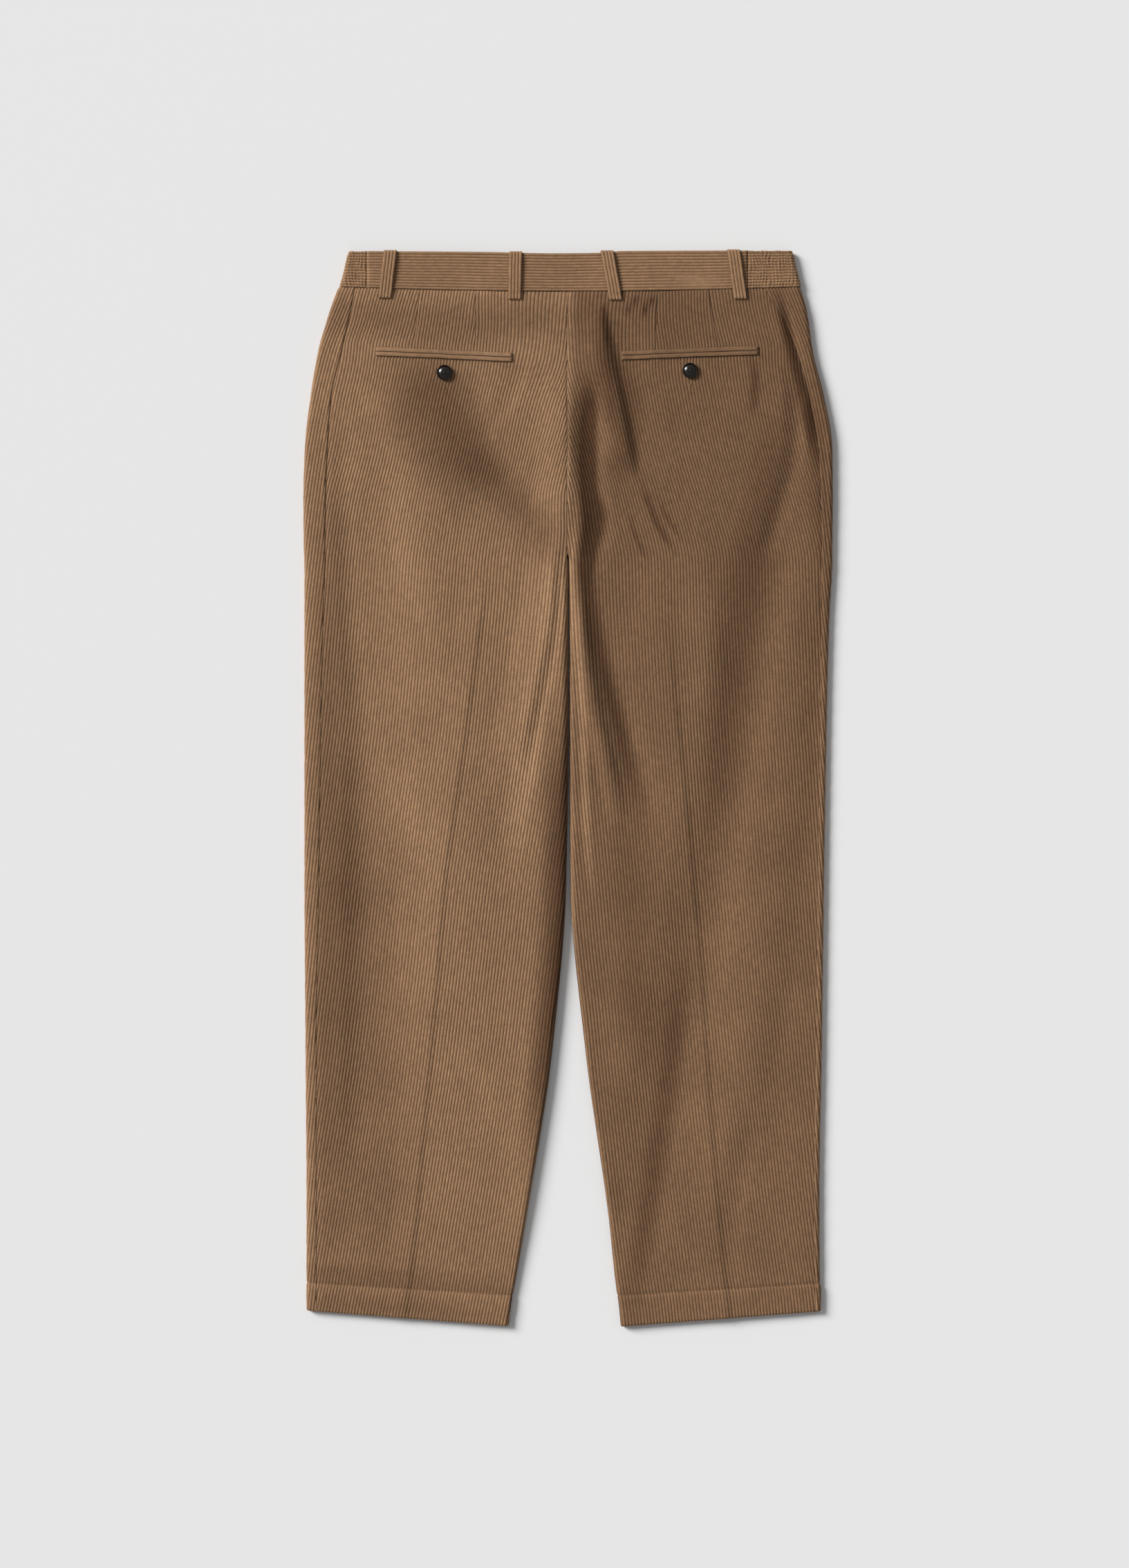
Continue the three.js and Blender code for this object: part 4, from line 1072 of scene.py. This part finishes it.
class TROUSERS_OT_waistband(bpy.types.Operator):
    """Make the waistband's back and its two front halves, with the wales running round the body"""

    bl_idname = "trousers.waistband"
    bl_label = "Waistband"

    def execute(self, context):
        material = get_material("cotton_corduroy_across", band_material)
        numbers, share, edge = band_columns()
        low, high = -ELASTIC_START["left"] + SEWN_GAP / 2, ELASTIC_START["right"] - SEWN_GAP / 2
        xs = np.linspace(low, high, 125)
        wales, x = np.meshgrid(numbers, xs)
        shares, lift = np.meshgrid(share, xs)[0], np.meshgrid(edge, xs)[0]
        relief = relief_of(np.minimum(wales, BAND_WALES + 0.5))
        ends = seam_dip(x - low, *BAND_END_DIP) + seam_dip(high - x, *BAND_END_DIP)
        y = band_y(x, shares) + 0.3 * wobble(x, wales, 23, 4) * np.sin(np.pi * shares)
        across, up = (x - WORN_SPOT[0]) / WORN_SIZE[0], (y - WORN_SPOT[1]) / WORN_SIZE[1]
        worn = np.exp(-(across**2 + up**4))
        relief = relief + (0.8 - relief) * 0.8 * worn
        z = BAND_TOP + lift + ends + BAND_RELIEF * relief + 0.25 * wobble(x, y, 38, 6)
        points = np.stack([x, y, z], axis=2)
        cloth = np.stack([wales + FIRST_WALE["band_back"], x, relief], axis=2)
        piece = cloth_sheet("waistband_back_cloth", points, cloth, BAND_WALL, material)
        finish_sheet(piece, points, "corduroy_across", "waistband_back")
        for side in SIGN:
            self.front_half(side, material)
        return {"FINISHED"}

    def front_half(self, side, material):
        """One front half, on the ground under the back of the band."""
        numbers, share, edge = band_columns()
        shares, part = np.meshgrid(share, np.linspace(0, 1, 60))
        end = band_turn(side, shares) - ELASTIC_FLOOR_REACH - SEAM_GAP
        inner = cut(side, "inner", WAIST_Y)
        out = inner + (end - inner) * part
        wales = np.broadcast_to(numbers, out.shape)
        relief = relief_of(np.minimum(wales, BAND_WALES + 0.5))
        x = out * SIGN[side]
        z = (1 - relief) * 0.45 + np.maximum(0, -np.broadcast_to(edge, out.shape) - 0.4) * 0.6
        points = np.stack([x, band_y(x, shares), z], axis=2)
        cloth = np.stack([wales + FIRST_WALE["band_front"], x, relief], axis=2)
        name = f"waistband_front_cloth_{side}"
        piece = cloth_sheet(name, points, cloth, BAND_WALL, material, on_ground=True)
        finish_sheet(piece, points, "corduroy_across", f"waistband_front_{side}")


class TROUSERS_OT_elastic_sides(bpy.types.Operator):
    """Make the shirred side sections of the waistband, puckered along rows of elastic thread"""

    bl_idname = "trousers.elastic_sides"
    bl_label = "Elastic sides"

    def execute(self, context):
        material = get_material("cotton_corduroy_across", band_material)
        for side in SIGN:
            points, cloth = self.shirring(side)
            piece = cloth_sheet(f"elastic_side_{side}", points, cloth, BAND_WALL, material)
            finish_sheet(piece, points, "corduroy_across", f"elastic_{side}")
        return {"FINISHED"}

    def shirring(self, side):
        """Points and cloth values of one section, from the back of the band to the ground."""
        numbers, share, edge = band_columns()
        radius = BAND_TOP / 2
        start = ELASTIC_START[side] + SEWN_GAP / 2
        top_length = band_turn(side, share) - start
        around = np.pi * radius
        length = top_length.mean() + around + ELASTIC_FLOOR_REACH
        steps = np.linspace(0, 1, int(length / 0.75))[:, None]
        run = steps * (top_length + around + ELASTIC_FLOOR_REACH)[None, :]
        wales = np.broadcast_to(numbers, run.shape)
        shares = np.broadcast_to(share, run.shape)
        angle = np.clip((run - top_length) / radius, 0, np.pi)
        past = np.clip(run - top_length - around, 0, None)
        # Puckers between the rows of elastic thread. They swell and die away from wale to wale
        uneven = run + 1.2 * wobble(run, shares * 36, 8, 2) + 0.5 * wobble(run, shares * 36, 3.5, 5)
        pucker = 0.5 - 0.5 * np.cos(2 * np.pi * uneven / PUCKER_PITCH)
        lumps = np.clip(0.55 + 0.6 * wobble(run * 2, shares * 60, 9, 11), 0.1, 1.2)
        relief = relief_of(np.minimum(wales, BAND_WALES + 0.5))
        on_ground = ease(past / 3)
        lift = np.broadcast_to(edge, run.shape) + 0.55 * relief + 0.75 * pucker * lumps - 0.3
        lift = lift + seam_dip(run, *BAND_END_DIP)
        out = start + np.minimum(run, top_length) + (radius + lift) * np.sin(angle) - past
        z = radius + (radius + lift) * np.cos(angle)
        z = np.maximum(z * (1 - on_ground) + on_ground * (1 - relief) * 0.4, 0)
        x = out * SIGN[side]
        sway = 0.45 * wobble(run * 3, wales * 2, 5, 7) * np.sin(np.pi * shares)
        ripple = np.where(shares > 0.97, 0.9 * (pucker * lumps - 0.6), 0)
        points = np.stack([x, band_y(x, shares) + sway + ripple, z], axis=2)
        wales = wales + FIRST_WALE["elastic"]
        # Painted shade: the colour darkens toward the groove colour in the troughs between the puckers
        return points, np.stack([wales, run, relief * (0.75 + 0.25 * pucker)], axis=2)


def rest_height(x, y, reach):
    """Height just over the wales around a spot of the back panels."""
    side = "left" if x < -1 else "right"
    across, along = np.meshgrid(np.linspace(-reach, reach, 5), np.linspace(-reach, reach, 3))
    return cloth_height(side, np.abs(x + across), y + along).max() + CLEAR_OF_WALES


class TROUSERS_OT_belt_loops(bpy.types.Operator):
    """Make the belt loops: folded strips of four wales, turned over the band and sewn below it"""

    bl_idname = "trousers.belt_loops"
    bl_label = "Belt loops"

    def execute(self, context):
        material = get_material("cotton_corduroy", corduroy_material)
        for loop in LOOPS:
            points, cloth = self.strip(loop, context.scene.trousers_trims.loop_width / MM)
            piece = cloth_sheet(f"{loop.name}_cloth", points, cloth, LOOP_WALL, material)
            finish_sheet(piece, points, "corduroy", loop.name)
        return {"FINISHED"}

    def strip(self, loop, width):
        """Points and cloth values of one loop."""
        edge_y = smooth_read(*BAND_EDGE, loop.top + np.array([-0.6, 0, 0.6]) * width).max()
        foot_y = edge_y - loop.drop
        foot_z = rest_height(loop.foot, foot_y + 3, 4) + LOOP_LIFT
        over = BAND_TOP + 0.85 + LOOP_LIFT
        top_y = edge_y + LOOP_BEHIND
        # Middle of the strip in y and z: up behind the band, over its top edge and down to the foot
        route = smooth_path([
            (top_y, 4.2), (top_y, over - 1.8), (top_y - 0.7, over - 0.4),
            (top_y - 2.4, over + 0.5), (edge_y - 11, over + 1.0), (edge_y - 25, over + 0.9),
            (waist_seam(loop.foot) + 1, max(over + 0.3, foot_z + 0.2)), (foot_y + 4, foot_z),
            (foot_y + 1.2, foot_z), (foot_y + 0.2, foot_z - 0.5), (foot_y, foot_z - 1.3),
        ], 70)
        tangent = np.gradient(route, axis=0)
        tangent /= np.linalg.norm(tangent, axis=1)[:, None]
        normal = np.stack([tangent[:, 1], -tangent[:, 0]], axis=1)
        numbers = strip_wales(LOOP_WALES)
        share = (numbers - 0.5) / LOOP_WALES
        # The folded edges turn down at both sides
        numbers = np.concatenate([[0.3, 0.4], numbers, [LOOP_WALES + 0.6, LOOP_WALES + 0.7]])
        share = np.concatenate([[0, 0], share, [1, 1]])
        edge = np.concatenate([[-1.2, -0.7], np.zeros(len(share) - 4), [-0.7, -1.2]])
        relief = relief_of(np.clip(numbers, 0.5, LOOP_WALES + 0.5))
        middle = loop.top + (loop.foot - loop.top) * np.clip((edge_y - route[:, :1]) / loop.drop, 0, 1)
        lift = (edge + BAND_RELIEF * relief)[None, :]
        x = middle + (share[None, :] - 0.5) * width + 0.15 * wobble(route[:, :1], share[None, :], 9, loop.top)
        y = route[:, :1] + normal[:, :1] * lift
        z = route[:, 1:] + normal[:, 1:] * lift
        shape = (len(route), len(share))
        points = np.stack([np.broadcast_to(part, shape) for part in (x, y, z)], axis=2)
        run = np.arange(len(route))[:, None] * (loop.drop / 50)
        wales = numbers[None, :] + FIRST_WALE["loop"] + loop.top
        cloth = [np.broadcast_to(part, shape) for part in (wales, run, relief[None, :])]
        return points, np.stack(cloth, axis=2)


class TROUSERS_OT_pocket_welts(bpy.types.Operator):
    """Make the two welts of each back pocket: narrow strips folded along the mouth"""

    bl_idname = "trousers.pocket_welts"
    bl_label = "Pocket welts"

    def execute(self, context):
        sizes = context.scene.trousers_trims
        depth, length = sizes.welt_depth / MM, sizes.welt_length / MM
        material = get_material("cotton_corduroy", corduroy_material)
        for side in SIGN:
            for place, low in (("upper", WELT_HALF_GAP), ("lower", -depth - WELT_HALF_GAP)):
                points, cloth = self.fold(side, low, depth, length)
                name = f"welt_{place}_{side}"
                piece = cloth_sheet(f"{name}_cloth", points, cloth, WELT_WALL, material, with_nap_and_shade=True)
                finish_sheet(piece, points, "corduroy", name)
        return {"FINISHED"}

    def fold(self, side, low, depth, length):
        """Points and cloth values of one welt: a rounded fold, under layer and upper layer."""
        pocket = POCKETS[side]
        turn = np.linspace(0, 2 * np.pi, 17)
        share = 0.5 - 0.5 * np.cos(turn)
        rise = 0.5 + np.where(turn < np.pi, 0.6, -0.4) * np.abs(np.sin(turn)) ** 0.6
        along = np.linspace(-0.5, 0.5, 90)[:, None] * length
        out = pocket.out + along
        taper = 1 - 0.5 * (1 - ease((length / 2 - np.abs(along)) / 2.5))
        lift = wale_rise() + WELT_LIFT + (rise + 0.12 * wobble(along, 0, 8, 5)) * taper
        middle = pocket.y + pocket.slope * along
        y = middle + low + share[None, :] * depth + 0.15 * wobble(along, 0, 13, low)
        z = cloth_height(side, out, middle) + lift
        x = np.broadcast_to(out * SIGN[side], y.shape)
        # Painted shade: the welt's colour nears the tip colour along the middle of its fold and the groove
        # colour down its sides and on its under layer
        relief = np.broadcast_to(0.3 + 0.6 * np.sin(turn).clip(0) ** 1.5, y.shape)
        wales = np.broadcast_to(FIRST_WALE["welt"] + low + share * depth / pitch(), y.shape)
        cloth = np.stack([wales, np.broadcast_to(out, y.shape), relief], axis=2)
        return np.stack([x, y, z], axis=2), cloth


class TROUSERS_OT_buttons(bpy.types.Operator):
    """Make the two pocket buttons, with a raised rim, four holes and crossed thread"""

    bl_idname = "trousers.buttons"
    bl_label = "Buttons"

    def execute(self, context):
        material = get_material("polished_resin", resin_material)
        for side in SIGN:
            low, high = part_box(f"button_{side}")
            centre = Vector(((low.x + high.x) / 2, (low.y + high.y) / 2, low.z))
            body = self.turned(context.scene.trousers_trims.button / 2, high.z - low.z)
            bmesh.ops.translate(body, verts=body.verts[:], vec=centre)
            piece = mesh_piece(f"button_body_{side}", body, material)
            self.bore(piece, centre, high.z - low.z)
            finish_piece(piece, "button", f"button_{side}")
            self.thread(side, centre, high.z - low.z)
        return {"FINISHED"}

    def turned(self, radius, height):
        """The button's body: its profile spun round. A groove parts the rim from a raised middle."""
        # Shares of the radius and the height, from the middle of the underside round to the top's
        profile = (
            (0, 0.02), (0.78, 0.02), (0.93, 0.16), (0.99, 0.36), (1, 0.55), (0.985, 0.74), (0.95, 0.87),
            (0.9, 0.9), (0.86, 0.78), (0.83, 0.6), (0.8, 0.5), (0.76, 0.52), (0.66, 0.68), (0.56, 0.83),
            (0.46, 0.94), (0.34, 1), (0.2, 1), (0, 0.99),
        )
        body = bmesh.new()
        line = [body.verts.new((r * radius, 0, z * height)) for r, z in profile]
        edges = [body.edges.new(pair) for pair in zip(line, line[1:])]
        bmesh.ops.spin(
            body, geom=line + edges, cent=(0, 0, 0), axis=(0, 0, 1), angle=2 * np.pi, steps=40, use_merge=True
        )
        bmesh.ops.remove_doubles(body, verts=body.verts[:], dist=0.01 * MM)
        bmesh.ops.recalc_face_normals(body, faces=body.faces[:])
        return body

    def bore(self, piece, centre, height):
        """Bores the four holes and keeps their rims sharp."""
        drills = bmesh.new()
        for quarter in range(4):
            turn = Matrix.Rotation((quarter + 0.5) * np.pi / 2, 4, "Z")
            place = Matrix.Translation(centre) @ turn @ Matrix.Translation((HOLE_OUT * MM, 0, height))
            radius = HOLE_SIZE / 2 * MM
            bmesh.ops.create_cone(
                drills, cap_ends=True, segments=16, radius1=radius, radius2=radius, depth=height, matrix=place
            )
        drill = mesh_piece("drill", drills, piece.data.materials[0])
        cut_away = piece.modifiers.new("holes", "BOOLEAN")
        cut_away.object = drill
        cut_away.operation = "DIFFERENCE"
        bpy.context.view_layer.update()
        bored = piece.evaluated_get(bpy.context.evaluated_depsgraph_get())
        plain, piece.data = piece.data, bpy.data.meshes.new_from_object(bored)
        piece.modifiers.clear()
        name = plain.name
        bpy.data.meshes.remove(plain)
        piece.data.name = name
        piece.data.set_sharp_from_angle(angle=0.7)
        bpy.data.meshes.remove(drill.data)

    def thread(self, side, centre, height):
        """Two strands of thread that cross from hole to hole and go down at their ends."""
        strands = bmesh.new()
        for quarter in (0.5, 1.5):
            turn = Matrix.Rotation(quarter * np.pi / 2, 4, "Z")
            lift = height + (0.1 + 0.25 * (quarter > 1)) * MM
            place = Matrix.Translation(centre + Vector((0, 0, lift))) @ turn
            size = Matrix.Diagonal((HOLE_OUT * 1.25 * MM, 0.42 * MM, 0.4 * MM, 1))
            bmesh.ops.create_icosphere(strands, subdivisions=2, radius=1, matrix=place @ size)
        material = get_material("button_thread", button_thread_material)
        finish_piece(mesh_piece(f"button_thread_{side}", strands, material), "thread")


class TROUSERS_OT_stitching(bpy.types.Operator):
    """Make the hems' stitches and the bartacks"""

    bl_idname = "trousers.stitching"
    bl_label = "Stitching"

    def execute(self, context):
        step = context.scene.trousers_trims.stitch / MM
        material = get_material("sewing_thread", thread_material)
        for side in SIGN:
            spots = self.hem_line(side, step)
            along = np.gradient(spots, axis=0)
            length = step * STITCH_SHARE
            piece = self.stitches(f"hem_stitches_{side}", spots, along, length, STITCH_RADIUS, material)
            finish_piece(piece, "thread")
            spots = self.tacks(side, context.scene.trousers_trims.welt_length / MM)
            across = np.tile((1.0, 0.04, 0.0), (len(spots), 1))
            piece = self.stitches(f"bartacks_{side}", spots, across, TACK_WIDTH, TACK_RADIUS, material)
            finish_piece(piece, "thread")
        return {"FINISHED"}

    def tacks(self, side, length):
        """Middles of the bartacks' strands: at both ends of the pocket's mouth and under its button."""
        pocket = POCKETS[side]
        half = length / 2
        # Distance outward and y of each bar, its length, and how far it stands above the wales
        bars = (
            (pocket.out - half, pocket.y - pocket.slope * half, 8, 0.55),
            (pocket.out + half, pocket.y + pocket.slope * half, 8, 0.55),
            (pocket.button_out, pocket.button_y - 14, 3, 0.2),
        )
        spots = []
        for out, middle, depth, proud in bars:
            for y in np.arange(middle - depth / 2, middle + depth / 2, TACK_PITCH):
                z = cloth_height(side, np.array([out]), np.array([y]))[0] + wale_rise() + proud
                spots.append((out * SIGN[side], y, z))
        return np.array(spots)

    def hem_line(self, side, step):
        """Middles of the stitches along one hem, in the drawing."""
        y = HEM_STITCH_Y
        inner, outer = cut(side, "inner", y), cut(side, "outer", y)
        out = np.arange(inner + 4.5, outer - 4, step)
        x = out * SIGN[side]
        z = cloth_height(side, out, np.full(out.shape, y)) + 0.05
        return np.stack([x, row_height(out, x, np.full(out.shape, y)), z], axis=1)

    def stitches(self, name, spots, headings, length, radius, material):
        """One joined mesh of stitches, each a short rounded strand along its heading."""
        joined = bmesh.new()
        for spot, ahead in zip(spots, headings):
            turn = Vector(ahead).to_track_quat("X", "Z").to_matrix().to_4x4()
            size = Matrix.Diagonal((length / 2 * MM, radius * MM, radius * MM, 1))
            place = Matrix.Translation(Vector((spot + SHIFT) * MM)) @ turn @ size
            bmesh.ops.create_icosphere(joined, subdivisions=1, radius=1, matrix=place)
        return mesh_piece(name, joined, material)


class TROUSERS_OT_fly_placket(bpy.types.Operator):
    """Make the fly placket, hidden between the panels: a plain strip of the same cloth"""

    bl_idname = "trousers.fly_placket"
    bl_label = "Fly placket"

    def execute(self, context):
        width, length = PLACKET_SIZE
        numbers = wale_columns(1, width // pitch(), ROUND_WALE)
        share = (numbers - numbers[0]) / (numbers[-1] - numbers[0])
        down = np.linspace(0, 1, 30)
        shares, part = np.meshgrid(share, down)
        wales = np.broadcast_to(numbers, shares.shape)
        relief = relief_of(wales)
        height = PLACKET_HIGH.z / MM - 0.4
        points = np.stack([
            -1 + (shares - 0.5) * width, PLACKET_TOP - part * length, height + 0.4 * relief
        ], axis=2)
        cloth = np.stack([wales + FIRST_WALE["placket"], part * length, relief], axis=2)
        material = get_material("cotton_corduroy", corduroy_material)
        piece = cloth_sheet("fly_placket_cloth", points, cloth, 1.0, material)
        finish_sheet(piece, points, "corduroy", "fly_placket")
        return {"FINISHED"}


class TROUSERS_OT_stage(bpy.types.Operator):
    """Make the pale ground, the soft light from the upper left and the camera straight above"""

    bl_idname = "trousers.stage"
    bl_label = "Stage"

    def execute(self, context):
        sizes = context.scene.trousers_stage
        ground = bmesh.new()
        bmesh.ops.create_grid(ground, x_segments=1, y_segments=1, size=6.0)
        floor = mesh_piece("ground", ground, get_material("painted_board", self.board_material))
        floor.location.z = -0.0001
        self.light(context, sizes)
        self.camera(context, sizes)
        return {"FINISHED"}

    def board_material(self, name):
        """A board rolled with pale matt paint: even, with no shine."""
        material, _, shader = new_material(name)
        shader.inputs["Base Color"].default_value = bpy.context.scene.trousers_stage.ground
        shader.inputs["Roughness"].default_value = 0.9
        return material

    def light(self, context, sizes):
        """Even light from all round and a wide, soft key from the upper left."""
        world = bpy.data.worlds.new("studio")
        world.use_nodes = True
        background = world.node_tree.nodes["Background"]
        background.inputs["Color"].default_value = (1, 1, 1, 1)
        background.inputs["Strength"].default_value = sizes.sky
        context.scene.world = world
        lamp = bpy.data.lights.new("key", "SUN")
        lamp.energy = sizes.sun
        lamp.angle = KEY_WIDTH
        key = bpy.data.objects.new("key", lamp)
        key.rotation_euler = Vector(KEY_TOWARDS).to_track_quat("-Z", "Y").to_euler()
        context.scene.collection.objects.link(key)

    def camera(self, context, sizes):
        """Camera straight above the garment, a little left of and above its middle."""
        data = bpy.data.cameras.new("camera")
        data.lens = CAMERA_LENS
        data.sensor_width = 36
        data.clip_end = 50
        camera = bpy.data.objects.new("camera", data)
        x, y = (SHIFT[:2] + CAMERA_PLACE) * MM
        camera.location = (x, y, sizes.height)
        context.scene.collection.objects.link(camera)
        context.scene.camera = camera
        context.scene.view_settings.view_transform = "Standard"


class TROUSERS_PT_sidebar(bpy.types.Panel):
    """Lists the sizes, the colours and the pieces"""

    bl_idname = "TROUSERS_PT_sidebar"
    bl_label = "Corduroy trousers"
    bl_space_type = "VIEW_3D"
    bl_region_type = "UI"
    bl_category = "Trousers"

    def draw(self, context):
        for place in GROUPS:
            group = getattr(context.scene, place)
            box = self.layout.box()
            for name in group.__annotations__:
                box.prop(group, name)
        for operator in OPERATORS:
            self.layout.operator(operator.bl_idname)


GROUPS = {"trousers_cloth": TrousersCloth, "trousers_trims": TrousersTrims, "trousers_stage": TrousersStage}
OPERATORS = (
    TROUSERS_OT_front_panels,
    TROUSERS_OT_back_panels,
    TROUSERS_OT_waistband,
    TROUSERS_OT_elastic_sides,
    TROUSERS_OT_belt_loops,
    TROUSERS_OT_pocket_welts,
    TROUSERS_OT_buttons,
    TROUSERS_OT_stitching,
    TROUSERS_OT_fly_placket,
    TROUSERS_OT_stage,
)


def register():
    """Registers the settings, the operators and the panel."""
    for name, group in GROUPS.items():
        bpy.utils.register_class(group)
        setattr(bpy.types.Scene, name, bpy.props.PointerProperty(type=group))
    for kind in (*OPERATORS, TROUSERS_PT_sidebar):
        bpy.utils.register_class(kind)


def unregister():
    """Takes them out again."""
    for kind in (TROUSERS_PT_sidebar, *reversed(OPERATORS)):
        bpy.utils.unregister_class(kind)
    for name, group in GROUPS.items():
        delattr(bpy.types.Scene, name)
        bpy.utils.unregister_class(group)


def main():
    """Makes every piece in order."""
    register()
    for operator in OPERATORS:
        group, name = operator.bl_idname.split(".")
        getattr(getattr(bpy.ops, group), name)()


if __name__ == "__main__":
    main()
